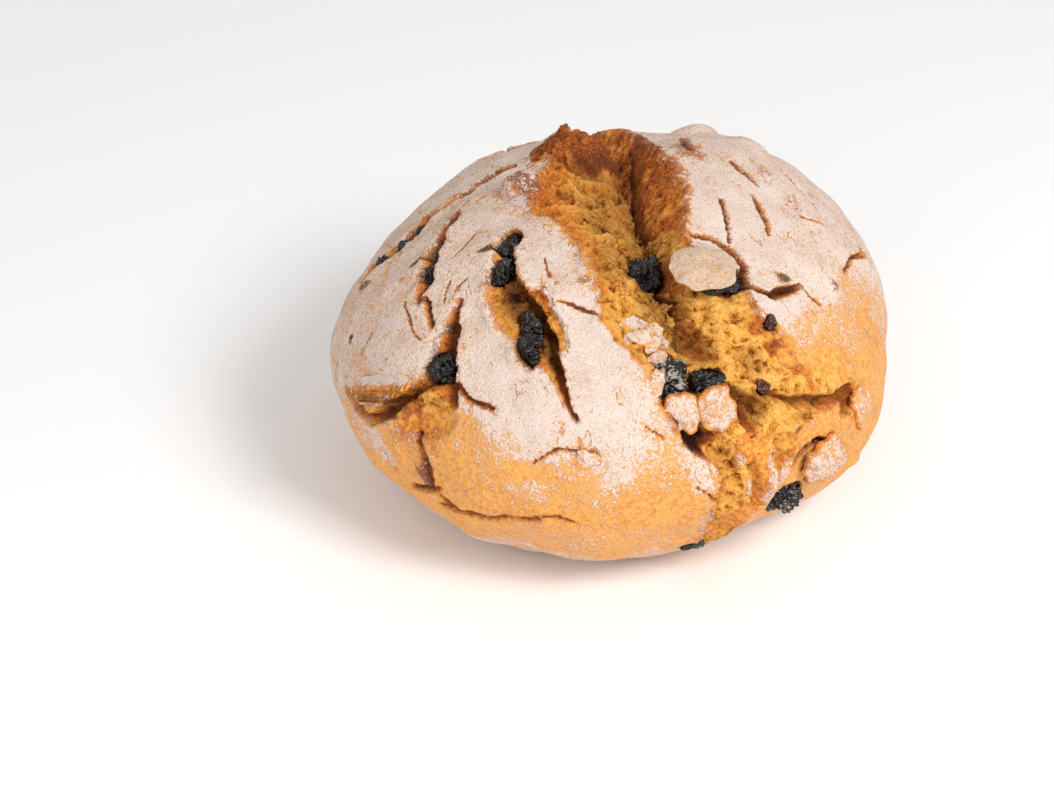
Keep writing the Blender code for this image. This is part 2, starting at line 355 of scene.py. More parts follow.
@dataclass(frozen=True)
class Dab(Oval):
    """A soft oval of one look, and the value that it pulls its mask toward."""

    value: float

    def paint(self, values: np.ndarray, dirs: np.ndarray, radius: np.ndarray, ragged: np.ndarray) -> None:
        """Pull a mask toward this dab's value where the dab lies.

        Args:
            values: The mask, changed in place.
            dirs: Unit directions, one a row.
            radius: Distance from the heart of each direction's surface.
            ragged: Noise of about -1 to 1 that frays the dab's edge.
        """
        # Only directions near enough to feel the dab, its frayed edge included, in radians
        widest = 0.02 + 1.6 * max(self.along, self.across) / 80.0
        near = np.nonzero(dirs @ direction(self.place) > math.cos(widest))[0]
        along, across = self.frame(dirs[near], radius[near])
        reach = np.sqrt(along**2 + across**2) + 0.28 * ragged[near]
        share = 1.0 - smooth(0.55, 1.25, reach)
        values[near] += (self.value - values[near]) * share


@dataclass(frozen=True)
class Torn:
    """The tear at each direction: its depth in millimetres, and shares of 0 to 1.

    shown is 1 inside the tear, deep is painted shade that rises toward its crease, and rim
    is 1 on the crust along its edges.
    """

    depth: np.ndarray
    shown: np.ndarray
    toast: np.ndarray
    deep: np.ndarray
    rim: np.ndarray


@dataclass(frozen=True)
class Fruit:
    """A raisin: place, half-sizes across, along and thick, turn, sink, and how dusted and red it is."""

    place: Angles
    half_sizes: tuple[float, float, float]
    turn: float
    sink: float
    dust: float = 0.0
    red: float = 0.0

    def axes(self) -> tuple[np.ndarray, np.ndarray, np.ndarray]:
        """Find the raisin's own axes.

        Returns:
            Unit vectors across, along and out of the raisin.
        """
        outward = direction(self.place)
        right, up = tangents(outward)
        angle = math.radians(self.turn)
        across = right * math.cos(angle) + up * math.sin(angle)
        along = up * math.cos(angle) - right * math.sin(angle)
        return across, along, outward


@dataclass
class LoafForm:
    """The loaf's rule: how far its surface lies from its heart in each direction."""

    # The flattened ball and its heart, above the middle of the foot
    half_width: float = 103.3
    half_depth: float = 100.0
    half_height: float = 68.0
    heart: tuple[float, float, float] = (-0.1, 0.4, 56.0)
    # The tear's plane, how soft its edge is, and how its right wall and left slope fall
    tear_azimuth: float = 22.0
    edge_width: float = 1.6
    wall_power: float = 1.15
    slope_power: float = 1.25
    rim_height: float = 0.9
    wave_seed: int = 31
    # Length and height of the waves of the crust and the crumb
    crust_waves: tuple[tuple[float, float], ...] = ((42, 1.0), (17, 0.4))
    crumb_waves: tuple[tuple[float, float], ...] = ((13, 0.9), (6.5, 0.5))
    # How steep a crack's walls are, and those of the solid, which the raisins are placed by
    groove_power: float = 3.6
    solid_groove_power: float = 2.4
    # How far cracks stray from their points, and over what length
    crack_wander: float = 0.7
    wander_mm: float = 15.0
    # Room around a raisin, and the angle from its middle that its pocket can reach, in radians
    pocket_gap: float = 0.35
    pocket_reach: float = 0.16
    flour_patch_mm: float = 24.0
    swells: tuple[Swell, ...] = (
        Swell((121, 40), 30, 8.5),
        Swell((-107, 25), 34, -8.5),
        Swell((-167, 55), 10, 7.0),
        Swell((156, 51), 13, -3.5),
        Swell((112, 29), 10, -2.0),
        Swell((-123, 40), 14, -4.0),
        Swell((-91, 0), 12, 3.0),
        Swell((-50, -44), 14, -2.0),
        Swell((75, -19), 17, 4.0),
        Swell((86, -6), 12, -3.5),
        Swell((42, -32), 20, -3.0),
        Swell((61, -36), 14, 3.0),
        Swell((-20, 30), 40, 1.5),
        Swell((-150, 5), 30, 2.5),
        Swell((160, -10), 34, -2.0),
    )
    # Stations along the tear from the front foot over the top to the back, in degrees:
    # left edge, crease and right edge as angles off its plane, then left step, depth, right step
    stations: tuple[tuple[float, ...], ...] = (
        (-34, 0, 2, 5, 0.0, 1.0, 0.0),
        (-15, -1, 1, 7, 2.5, 4.5, 0.0),
        (-4, -2, 1, 12, 4.0, 6.5, 0.0),
        (3, 0, 2, 16, 4.5, 7.0, 0.0),
        (9, -5, -2, 20, 4.0, 8.0, 0.5),
        (14, -8, -4, 25, 3.5, 10.0, 1.0),
        (22, -11, -4, 22, 3.5, 12.0, 1.0),
        (28, -12, -4, 20, 3.5, 13.0, 1.0),
        (34, -18, -4, 18, 3.0, 14.0, 2.0),
        (40, -21, -3, 18, 3.0, 16.0, 2.5),
        (46, -19, -1, 9, 3.5, 18.0, 2.5),
        (55, -18, 2, 8, 4.0, 20.0, 2.0),
        (67, -19, 6, 13, 3.5, 21.0, 2.0),
        (79, -23, 8, 19, 3.0, 21.0, 2.0),
        (89, -25, 10, 21, 2.5, 20.0, 2.0),
        (100, -22, 12, 20, 2.0, 18.0, 2.0),
        (110, -14, 14, 21, 2.0, 17.0, 2.0),
        (122, -2, 15, 22, 2.0, 15.0, 2.5),
        (135, 6, 15, 21, 2.5, 11.0, 2.5),
        (150, 9, 12, 16, 2.0, 5.0, 1.5),
        (162, 10, 11, 12, 0.0, 0.0, 0.0),
    )
    # How toasted the tear is along its stations
    tear_toast: tuple[Angles, ...] = (
        (-20, 0.35), (0, 0.3), (20, 0.12), (45, 0.15),
        (70, 0.4), (90, 0.68), (110, 0.8), (160, 0.7),
    )
    cracks: dict[str, Crack] = field(default_factory=lambda: {
        "shoulder_groove": Crack(((-91, 16, 1), (-94, 21, 3.2), (-97, 25, 3.8), (-101, 29, 4),
                                  (-109, 33, 4), (-117, 36, 3.8), (-125, 41, 3.2),
                                  (-134, 49, 1.2)), 6.5, 1.2, toast=0.8),
        "slit_upper": Crack(((-93, 44, 0.8), (-85, 41, 2.8), (-78, 38, 3.4), (-71, 35, 3.2),
                             (-64, 32, 2.8), (-59, 28, 1)), 7.0, 0.9, toast=0.68),
        "slit_upper_tail": Crack(((-59, 30, 0.8), (-51, 26, 1.3)), 3.5, 0.3),
        "slit_lower": Crack(((-48, 34, 0.9), (-46, 29, 2.8), (-43, 24, 4.2), (-40, 18, 5),
                             (-36, 14, 2)), 7.5, 1.0, toast=0.6, crumb=0.7),
        "slit_lower_branch": Crack(((-36, 18, 1), (-31, 16, 1.1), (-26, 15, 0.7)), 2.0, 0.3),
        "gash": Crack(((-55, 54, 2.6), (-44, 46, 4.4), (-36, 40, 6.6), (-26, 35, 7.4),
                       (-18, 29, 5.6), (-13, 24, 2.4)), 7.5, 1.6, toast=0.25, crumb=1.0),
        "gash_crease": Crack(((-36, 44, 1.2), (-29, 40, 2.2), (-22, 36, 2.6), (-17, 30, 2.4),
                              (-13, 24, 2), (-10, 19, 1.6), (-8, 16, 0.7)), 6.5, 0.0, toast=0.45,
                             crumb=0.8),
        "left_lip": Crack(((-70, 1, 0.9), (-56, 2, 2.2), (-52, 6, 2.4), (-48, 11, 2.6),
                           (-42, 16, 1.5)), 5.5, 1.4, toast=0.5, crumb=0.8),
        "lower_left": Crack(((-43, 4, 1), (-41, 0, 2), (-40, -3, 2.2), (-38, -6, 1.2)), 5.0, 0.8,
                            toast=0.8, crumb=0.55),
        "lower_left_slit": Crack(((-46, -10, 0.9), (-42, -9, 1.4), (-37, -5, 1)), 3.0, 0.4),
        "under_wrinkle": Crack(((-38, -11, 1), (-28, -10, 1.3), (-15, -7, 0.9)), 1.6, 0.4, toast=0.5),
        "top_flap_slit": Crack(((150, 50, 1), (138, 57, 1.6), (127, 60, 1)), 3.2, 1.0, toast=1.0),
        "right_slit": Crack(((112, 54, 0.9), (104, 53, 1.4), (96, 50, 1)), 2.8, 0.4, toast=1.0),
        "right_line": Crack(((89, 51, 0.8), (82, 48, 1.2), (73, 44, 0.8)), 2.0, 0.3),
        "cap_line": Crack(((80, 59, 0.8), (68, 55, 1.2), (56, 50, 0.8)), 2.2, 0.3),
        "cap_ring": Crack(((44, 57, 0.9), (51, 53, 1.4), (53, 48, 1.6), (52, 43, 1.6),
                           (47, 39, 1.5)), 3.2, 0.5),
        "right_border": Crack(((46, 38, 1.4), (51, 33, 1.7), (56, 33, 1.7), (61, 32, 1.2)), 3.6, 0.6),
        "right_edge_crack": Crack(((96, 22, 1), (92, 21, 1.5), (79, 26, 1)), 3.0, 0.4),
        "right_edge_branch": Crack(((92, 21, 0.8), (96, 15, 1)), 2.0, 0.3),
        "under_slot": Crack(((36, 15, 1.4), (44, 11, 2.4), (50, 9, 2.4), (57, 8, 1.6)), 4.6, 0.9,
                            toast=0.3, crumb=0.7),
        "knob_gap": Crack(((20, 20, 1), (19, 12, 1.2)), 4.5, 0.0, toast=0.9),
        "left_dome_gap": Crack(((12, 20, 0.9), (14, 15, 1.5), (16, 11, 2), (18, 8, 1)), 5.5, 0.0,
                               toast=0.9),
        "lump_gap": Crack(((39, -1, 0.9), (42, 2, 1.4), (46, 2, 1.3), (52, -2, 1.1)), 3.6, 0.3, toast=0.9),
        "back_crack_left": Crack(((-150, 30, 0.9), (-158, 18, 2.4), (-162, 4, 2.6),
                                  (-160, -8, 1)), 5.5, 0.9),
        "back_crack_middle": Crack(((172, 18, 0.8), (176, 6, 1.8), (171, -6, 0.9)), 3.5, 0.5),
        "back_crack_right": Crack(((135, 8, 0.8), (128, -2, 2), (130, -14, 0.9)), 4.0, 0.6),
    })
    pits: dict[str, Bowl] = field(default_factory=lambda: {
        "top_hollow": Bowl((-166, 77), 10.5, 5.5, 10, 8.0),
        "bubble_high": Bowl((24, 39), 3.4, 2.8, 0, 4.0),
        "bubble_tall": Bowl((22, 30), 5.0, 8.0, 10, 6.0),
        "bubble_deep": Bowl((30, 14), 5.5, 10.0, 25, 7.5),
        "side_pit": Bowl((56, 7), 6.0, 5.5, 0, 6.5, toast=0.8),
        "torn_patch": Bowl((25, 4), 6.5, 7.0, 0, 1.8),
        "black_pit": Bowl((18, 10), 3.8, 2.8, 0, 5.5, toast=1.0),
        "left_window": Bowl((-42, 9), 14.0, 8.0, 15, 3.2),
        "left_cave": Bowl((-51, 8), 5.5, 2.6, 30, 5.0, toast=0.8),
    })
    lumps: dict[str, Bowl] = field(default_factory=lambda: {
        "dusted_cap": Bowl((36, 48.5), 12.5, 9.0, -10, 5.5, toast=0.35),
        "knob_left": Bowl((15, 16), 6.0, 6.5, 0, 5.0, flour=0.2),
        "knob_right": Bowl((25, 16), 7.0, 7.5, 0, 6.0, flour=0.2),
        "dusted_lump": Bowl((47, -4), 8.5, 7.0, 20, 5.5, flour=0.75),
        "blister": Bowl((-6, 8), 3.6, 3.2, 0, 1.4, flour=0.4),
        "split_peak": Bowl((-110, 61), 9.0, 7.0, 0, 4.0, toast=0.5),
        "toasted_ridge": Bowl((-170, 61), 14.0, 6.0, 0, 6.0, toast=1.0),
        "torn_lip": Bowl((10, 33), 8.0, 4.0, 10, 2.5),
        "side_ring": Bowl((62, 3), 3.5, 8.0, 0, 2.5, flour=0.3),
        "flap_peak": Bowl((150, 41), 9.0, 4.5, 0, 3.5, flour=0.8),
        "second_peak": Bowl((127, 42), 10.0, 5.0, 0, 2.0, flour=0.8),
        "side_knob": Bowl((62, -12), 5.5, 4.0, 0, 2.5),
    })
    # Cracks that the solid leaves out: hairlines of the skin, and narrow rifts at the tear and lips
    hairlines: tuple[Crack, ...] = (
        Crack(((-64, 26, 0.32), (-60, 25, 0.64), (-51, 22, 0.32)), 1.4, 0.15),
        Crack(((-67, 18, 0.24), (-67, 11, 0.48)), 1.0, 0.1),
        Crack(((-108, 46, 0.24), (-99, 45, 0.64), (-90, 43, 0.32)), 1.4, 0.15),
        Crack(((-57, 36, 0.32), (-52, 31, 0.48)), 1.2, 0.1),
        Crack(((-53, 39, 0.24), (-52, 35, 0.4)), 1.0, 0.1),
        Crack(((-16, -6, 0.4), (-11, -6, 0.64), (-7, -7, 0.32)), 1.2, 0.2),
        Crack(((-16, 7, 0.32), (-11, 10, 0.64), (-7, 10, 0.4)), 1.3, 0.2),
        Crack(((5, 16, 0.24), (10, 12, 0.48)), 1.0, 0.1),
        Crack(((17, 1, 0.32), (21, -3, 0.56)), 1.2, 0.2),
        Crack(((-18, 41, 0.32), (-11, 40, 0.72), (-5, 39, 0.64)), 1.6, 0.1),
        Crack(((112, 40, 0.24), (104, 37, 0.56), (97, 34, 0.32)), 1.2, 0.1),
        Crack(((88, 38, 0.32), (90, 33, 0.48)), 1.0, 0.1),
        Crack(((62, 32, 0.4), (63, 26, 0.56)), 1.2, 0.1),
        Crack(((-72, 48, 0.24), (-66, 43, 0.48), (-64, 40, 0.24)), 1.0, 0.1),
        Crack(((-30, 52, 0.24), (-24, 47, 0.48)), 1.0, 0.1),
        Crack(((169, 51, 0.9), (160, 64, 1.7), (134, 76, 2.0), (83, 78, 1.8), (45, 69, 1.3)), 5.0, 0.2,
              toast=0.7, crumb=0.8),
        Crack(((28, 51, 0.6), (26, 44, 1.1), (23, 36, 1.2), (20, 29, 0.8)), 2.6, 0.6, toast=0.2, crumb=1.0),
        Crack(((27, 54, 0.7), (22, 51, 1.4), (21.5, 46, 1.6), (25, 41, 1.0)), 3.4, 0.0, toast=1.0,
              crumb=0.6),
        Crack(((-38, -6, 1.0), (-36, -9, 1.3), (-31, -11, 0.9)), 2.4, 0.4, toast=0.6),
        Crack(((-141, 25, 0.8), (-148, 31, 1.6), (-156, 36, 1.2)), 3.0, 0.6, toast=0.7, crumb=0.5),
    )
    # Small swells and dips of the skin and of torn strands, finer than the solid's
    folds: tuple[Bowl, ...] = (
        Bowl((28.5, -5), 2.0, 13.0, 12, 2.4, flour=0.25),
        Bowl((33.5, -4), 2.4, 12.0, -6, 2.8, flour=0.4),
        Bowl((31.0, -3), 1.4, 11.0, 4, -2.0),
        Bowl((37.5, -1), 1.8, 8.0, -12, 2.0),
        Bowl((36.0, 3), 1.3, 8.0, 0, -2.0),
        Bowl((24, -10), 1.8, 9.0, 4, 1.8),
        Bowl((31, -15), 4.5, 5.5, 0, 1.3, flour=0.5),
        Bowl((53, 13), 9.0, 5.0, 12, 1.6),
        Bowl((45, 18), 5.0, 3.5, 0, 1.2),
        Bowl((43, 9), 8.0, 1.8, 6, -1.4),
        Bowl((-104, 60), 10.0, 2.2, 60, 1.6),
        Bowl((-8, 4), 5.0, 1.6, -8, 0.7),
        Bowl((-48, -2), 2.2, 7.0, 20, 1.3),
        Bowl((-52, -6), 2.6, 6.0, 30, -1.2),
        Bowl((71, 26), 3.6, 3.0, 0, 1.2),
        Bowl((-100, 50), 9.0, 2.0, 55, 0.9),
        Bowl((-85, 50), 8.0, 1.6, 50, 0.8),
        Bowl((60, 12), 4.0, 3.0, 0, 1.0),
        Bowl((-125, 75), 11.0, 2.4, 0, 2.2),
        Bowl((-60, 69), 4.0, 8.0, 10, -1.2),
        Bowl((-20, 58), 3.0, 12.0, 20, -1.2),
        Bowl((15, 42), 5.0, 3.0, 30, -1.5),
        Bowl((33, 36), 7.0, 2.0, 60, 1.6),
        Bowl((36, 22), 6.0, 7.0, 0, -2.0),
        Bowl((29, 21), 3.0, 9.0, 25, 1.5),
        # Holes and ledges of the torn crumb
        Bowl((-160, 67), 8.5, 5.0, 0, -4.5),
        Bowl((-101, 74), 2.4, 3.2, 20, -4.0),
        Bowl((-92, 82), 2.0, 3.2, -20, -3.5),
        Bowl((-97, 79), 9.0, 2.0, 5, 1.8),
        Bowl((25, 38.5), 2.6, 3.6, 0, -4.5),
        Bowl((25.5, 29), 4.2, 8.0, 5, -5.5),
        Bowl((33, 12), 3.2, 5.0, 0, -3.5),
        Bowl((-23, 40), 8.0, 3.4, -40, -3.0),
        Bowl((-16.5, 34), 9.5, 3.6, -56, -3.2),
        Bowl((-47, 26.5), 6.0, 1.3, 66, -2.0),
        Bowl((-46.5, 21.5), 3.4, 1.5, -60, -1.8),
        Bowl((12, 55), 4.0, 2.0, 60, -2.5),
        Bowl((-10, 66), 5.0, 2.2, 70, -2.5),
        Bowl((-40, 72), 4.0, 2.0, 60, -2.0),
        Bowl((10, 70), 6.0, 2.4, 70, 1.8),
        Bowl((5, 58), 6.0, 2.2, 75, 1.6),
    )
    # Looks painted over the rule's own, by mask, each over those before it
    dabs: dict[Mask, tuple[Dab, ...]] = field(default_factory=lambda: {
        Mask.TOAST: (
            # Top and edges of the tear
            Dab((-163, 57), 22.0, 9.0, 0, 0.74),
            Dab((-149, 54), 10.0, 7.0, 0, 0.8),
            Dab((148, 66), 12.0, 9.0, 0, 0.68),
            Dab((119, 73), 8.0, 7.0, 0, 0.72),
            Dab((163, 56), 11.0, 9.0, 0, 0.75),
            Dab((81, 72), 6.0, 5.0, 0, 0.55),
            Dab((55, 67), 5.0, 6.0, 0, 0.55),
            Dab((129, 61), 8.0, 6.0, 0, 0.6),
            Dab((-105, 62), 13.0, 6.0, 40, 0.78),
            Dab((-99, 57), 12.0, 5.0, 45, 0.6),
            Dab((-84, 64), 6.0, 10.0, 20, 0.5),
            Dab((-70, 66), 4.0, 8.0, 20, 0.42),
            # End of the upper left slit
            Dab((-88, 42.5), 7.0, 3.4, -28, 0.85),
            # Holes and ledges at the middle right
            Dab((42, 29), 3.6, 4.0, 0, 0.62),
            Dab((42, 24), 3.0, 3.4, 0, 0.7),
            Dab((45, 18), 3.4, 2.4, 0, 0.5),
            Dab((25.5, 29), 5.0, 9.0, 5, 0.42),
            Dab((34, 14), 3.5, 4.5, 0, 0.35),
            Dab((31, 10), 3.5, 4.0, 0, 0.7),
            Dab((20, 9), 6.0, 3.0, 0, 1.0),
            # Worn skin of the right flank
            Dab((102, 47), 9.0, 4.0, 0, 0.45),
            Dab((90, 41), 9.0, 5.0, 0, 0.5),
            # Cracks, grooves and lips
            Dab((-41, -4), 3.5, 7.0, 10, 0.8),
            Dab((56, 6), 6.0, 5.0, 0, 0.55),
            Dab((-43, 5), 12.0, 8.0, 15, 0.36),
            Dab((-117, 38), 24.0, 4.0, -38, 0.75),
            Dab((-46, 10), 5.0, 4.0, 15, 0.6),
            Dab((43, 39), 8.0, 2.0, 10, 0.35),
            Dab((27, 47), 3.0, 3.5, 0, 0.5),
            Dab((-22.5, 41), 8.0, 3.0, -40, 0.55),
            Dab((-14.5, 34), 9.0, 2.6, -58, 0.35),
            Dab((-58, 8.0), 12.0, 2.2, 24, 0.35),
        ),
        Mask.CRUMB: (
            # Torn skin behind the top
            Dab((-163, 58), 22.0, 9.0, 0, 1.0),
            Dab((-150, 52), 9.0, 6.0, 0, 0.8),
            # Stretched skin instead of open crumb
            Dab((31, 6), 9.0, 8.0, 0, 0.1),
            Dab((33, -3), 8.0, 12.0, 0, 0.0),
            Dab((29, -13), 9.0, 10.0, 0, 0.05),
            Dab((22, -22), 9.0, 9.0, 0, 0.2),
            Dab((27, 42), 3.0, 6.0, 0, 0.35),
            Dab((45, 22), 5.0, 8.0, 0, 0.25),
            # Crumb that shows beside the tear and in the walls of cracks
            Dab((33, 13), 8.0, 10.0, 0, 1.0),
            Dab((43, 10.5), 15.0, 6.0, 6, 1.0),
            Dab((57, 6), 8.0, 8.0, 0, 1.0),
            Dab((-53, 9.5), 9.0, 2.6, 24, 0.9),
            Dab((-42, 13), 9.0, 4.0, 10, 0.9),
            Dab((-38, 18), 2.5, 7.0, 10, 0.85),
            Dab((-23, 40), 8.5, 3.6, -40, 1.0),
            Dab((-16.5, 34), 10.0, 3.9, -56, 1.0),
        ),
        Mask.PAINTED_SHADE: (
            # Shallow dips that keep almost no painted shade
            Dab((-23, 40), 9.0, 4.0, -40, 0.05),
            Dab((-16.5, 34), 10.5, 4.2, -56, 0.05),
            Dab((-41, 8), 12.0, 6.0, 15, 0.05),
            # The tear's upper floor lies in its own shade
            Dab((-20, 86), 12.0, 24.0, 20, 0.42),
            Dab((1, 57), 8.0, 13.0, 10, 0.42),
            # Painted shade in holes and caves
            Dab((-158, 66), 8.0, 3.6, 0, 0.7),
            Dab((25.5, 29), 4.2, 8.2, 5, 0.55),
            Dab((25, 38.5), 3.4, 3.6, 0, 0.5),
            Dab((-52, 4.5), 7.0, 2.2, 30, 0.9),
            Dab((18, 10), 6.0, 3.2, 0, 1.0),
            Dab((56, 7), 6.0, 6.0, 0, 0.45),
            Dab((34, 14), 5.0, 6.0, 0, 0.5),
            Dab((-47, 26.5), 6.0, 1.5, 66, 0.9),
            Dab((-46.5, 21.5), 3.5, 1.7, -60, 0.85),
        ),
        Mask.FLOUR: (
            # Worn away
            Dab((-163, 57), 20.0, 9.0, 0, 0.05),
            Dab((-105, 62), 12.0, 5.0, 40, 0.34),
            Dab((-98, 56), 12.0, 4.0, 45, 0.55),
            Dab((-88, 42.5), 7.0, 3.4, -28, 0.12),
            Dab((-117, 38), 24.0, 4.0, -38, 0.06),
            Dab((-80, 58), 12.0, 4.0, 35, 0.55),
            Dab((129, 61), 8.0, 6.0, 0, 0.45),
            Dab((102, 47), 9.0, 4.0, 0, 0.5),
            Dab((90, 41), 9.0, 5.0, 0, 0.5),
            Dab((53, 13), 13.0, 7.0, 10, 0.06),
            Dab((44, 20), 7.0, 9.0, 0, 0.1),
            Dab((-42, 9), 15.0, 8.0, 15, -0.1),
            Dab((-41, 14), 10.0, 5.0, 10, -0.1),
            Dab((-37, 4), 9.0, 7.0, 0, 0.2),
            Dab((-31, 9.5), 8.0, 9.0, 0, 0.28),
            Dab((-58, 3), 8.0, 4.0, 20, 0.25),
            Dab((-65, 8), 12.0, 6.0, 15, 0.55),
            Dab((-18, 4), 14.0, 5.0, 0, 0.22),
            Dab((-8, 6), 5.0, 4.0, 0, 0.4),
            Dab((76, 22), 6.0, 9.0, 0, 0.45),
            Dab((-58, 8.5), 12.0, 2.4, 24, 0.3),
            # Thinner on the left flank
            Dab((-88, 22), 40.0, 38.0, 0, 0.68),
            # Thick over the front and the right
            Dab((-18, 24), 24.0, 24.0, 0, 0.97),
            Dab((-4, 30), 10.0, 22.0, 10, 0.95),
            Dab((75, 50), 26.0, 20.0, 0, 0.92),
            Dab((50, 32), 9.0, 7.0, 0, 0.95),
            # Caught on folds and lumps
            Dab((33.5, -2), 1.7, 13.0, -4, 0.64),
            Dab((29.0, -3), 1.5, 13.0, 10, 0.6),
            Dab((37.0, -2), 1.3, 9.0, -10, 0.6),
            Dab((31, -15), 3.0, 8.0, 0, 0.55),
            Dab((60, 3), 6.0, 9.0, 0, 0.42),
            Dab((48, -2), 8.0, 7.0, 20, 0.55),
            Dab((17, 5), 5.0, 14.0, 20, 0.66),
            Dab((20, -10), 4.0, 12.0, 0, 0.5),
            Dab((-54, -3), 5.0, 10.0, 25, 0.7),
            Dab((68, 28), 7.0, 7.0, 0, 0.85),
            Dab((84, 6), 12.0, 24.0, 0, 0.5),
            Dab((66, 17), 7.0, 9.0, 0, 0.42),
            Dab((-4, -14), 40.0, 9.0, 0, 0.36),
        ),
        Mask.FRUIT: (
            # Fruit that shows faintly under the floured skin
            Dab((-75, 10), 2.0, 1.3, 50, 1.0),
            Dab((-87, 17), 2.0, 3.4, -30, 0.8),
            Dab((-56, 47), 1.6, 3.4, -20, 0.9),
            Dab((-76, 32), 1.4, 3.6, -20, 1.0),
            Dab((-20, 46), 1.8, 1.4, 0, 0.35),
            Dab((-11, 48), 3.2, 2.2, 0, 0.5),
            Dab((71, 26), 2.6, 2.4, 0, 0.6),
            Dab((59, 35), 2.6, 2.4, -20, 0.8),
            Dab((132, 60), 4.6, 1.2, -12, 0.9),
            Dab((-22, 21), 3.5, 2.6, 0, 0.3),
            Dab((-4, 9.6), 2.6, 1.3, -30, 0.7),
            Dab((47, -2), 2.4, 1.8, 0, 0.45),
            Dab((46, 2), 3.0, 1.2, 0, 0.8),
        ),
    })
    fruit: dict[str, Fruit] = field(default_factory=lambda: {
        "raisin_shoulder_low": Fruit((-93, 20.5), (3.2, 3.6, 3.2), 10, -4.2),
        "raisin_shoulder_mid": Fruit((-96, 25), (3.0, 3.4, 3.0), -20, -4.2),
        "raisin_shoulder_high": Fruit((-101, 29.5), (3.2, 3.8, 3.0), -40, -4.2),
        "raisin_slit_high": Fruit((-76, 36.5), (3.2, 4.2, 3.0), -40, -1.8),
        "raisin_slit_low": Fruit((-68, 32.8), (3.4, 4.2, 3.0), -30, -1.4),
        "raisin_gash_top": Fruit((-52.5, 52.5), (4.6, 5.4, 3.8), 25, 0.0),
        "raisin_gash_upper": Fruit((-44, 44.5), (3.8, 6.0, 3.6), -15, 0.0),
        "raisin_gash_lower": Fruit((-24.5, 33), (3.8, 6.4, 3.6), 35, 0.0),
        "raisin_gash_tail": Fruit((-22.5, 28), (2.9, 6.0, 3.0), 42, 2.0),
        "raisin_corner": Fruit((-43, 18.6), (5.4, 5.8, 4.4), -20, 2.4),
        "raisin_crease": Fruit((22, 55.5), (6.2, 8.0, 5.4), 5, 1.0),
        "raisin_under_cap": Fruit((41, 42.5), (8.5, 5.6, 4.2), -30, 1.4, dust=0.1),
        "raisin_dusted": Fruit((14.5, 23.3), (6.6, 8.0, 4.6), 15, 0.6, dust=0.85),
        "raisin_beside_knobs": Fruit((24, 20.8), (6.0, 3.8, 4.2), 0, 0.8, dust=0.15),
        "raisin_front_right": Fruit((39.5, -10.5), (6.8, 7.2, 5.8), -40, 2.0, dust=0.3),
        "raisin_foot": Fruit((21, -25), (5.0, 3.6, 3.6), -20, 2.2, dust=0.2),
        "raisin_scrap_red": Fruit((36, 16.5), (2.2, 3.0, 2.2), 0, 0.8, red=1.0),
        "raisin_scrap_purple": Fruit((44.5, 29), (2.2, 2.7, 2.0), -30, 0.8, red=0.6),
    })
    # Lowest elevation that the flour dusting covers, around the loaf by azimuth
    flour_line: tuple[Angles, ...] = (
        (-180, 8), (-150, 10), (-120, 4), (-95, -6), (-70, -4), (-52, 6), (-44, 10), (-30, 9),
        (-15, 5), (0, 5), (10, 9), (20, 14), (40, 30), (52, 25), (64, 22), (78, 24), (88, 10),
        (105, 2), (140, 8), (180, 8),
    )

    def ball(self, dirs: np.ndarray) -> np.ndarray:
        """Measure the flattened ball with its broad swells.

        Args:
            dirs: Unit directions, one a row.

        Returns:
            Its distance from the heart in each direction.
        """
        scale = np.array((self.half_width, self.half_depth, self.half_height))
        radius = 1.0 / np.linalg.norm(dirs / scale, axis=1)
        for swell in self.swells:
            angle = np.degrees(np.arccos(np.clip(dirs @ direction(swell.place), -1.0, 1.0)))
            radius += swell.height * np.exp(-((angle / swell.reach) ** 2))
        return radius

    def tear_angles(self, dirs: np.ndarray) -> tuple[np.ndarray, np.ndarray]:
        """Turn directions into angles about the tear.

        Args:
            dirs: Unit directions, one a row.

        Returns:
            Angles off the tear's plane and along it from the front, in degrees.
        """
        front = direction((self.tear_azimuth, 0))
        side = direction((self.tear_azimuth + 90, 0))
        along = np.degrees(np.arctan2(dirs[:, 2], dirs @ front))
        return np.degrees(np.arcsin(np.clip(dirs @ side, -1.0, 1.0))), along

    def tear(self, dirs: np.ndarray, radius: np.ndarray, fray: float = 1.0) -> Torn:
        """The tear's depth and looks at each direction.

        Args:
            dirs: Unit directions, one a row.
            radius: Distance from the heart of the untorn surface.
            fray: How ragged the crust's edges are.

        Returns:
            The tear at each direction.
        """
        rng = np.random.default_rng(self.wave_seed + 1)
        across, along = self.tear_angles(dirs)
        table = np.array(self.stations)
        left, crease, right, left_step, deep, right_step = (
            np.interp(along, table[:, 0], table[:, column]) for column in range(1, 7)
        )
        points = dirs * radius[:, None]
        ragged = fray * (1.1 * waves(points, 9.0, rng) + 0.8 * waves(points, 3.6, rng))
        past_left = np.radians(across - left) * radius + ragged
        past_right = np.radians(right - across) * radius + ragged
        inside = smooth(0.0, self.edge_width, past_left) * smooth(0.0, self.edge_width, past_right)
        to_left = np.clip((across - left) / (crease - left), 0.0, 1.0)
        to_right = np.clip((right - across) / (right - crease), 0.0, 1.0)
        left_slope = left_step + (deep - left_step) * to_left**self.slope_power
        right_slope = right_step + (deep - right_step) * to_right**self.wall_power
        depth = np.where(across < crease, left_slope, right_slope)
        torn = smooth(0.0, 2.0, deep) * smooth(-60.0, -38.0, along)
        toast_along = np.array(self.tear_toast)
        toasted = np.interp(along, toast_along[:, 0], toast_along[:, 1])
        slope = np.where(across < crease, to_left, to_right)
        rim = np.exp(-np.minimum(past_left, past_right) ** 2 / 5.0) * torn
        near_edge = 1.0 - smooth(0.0, 0.5, slope)
        right_toast = toasted * (0.5 + 0.4 * near_edge)
        left_toast = 0.34 * toasted + 0.25 * near_edge
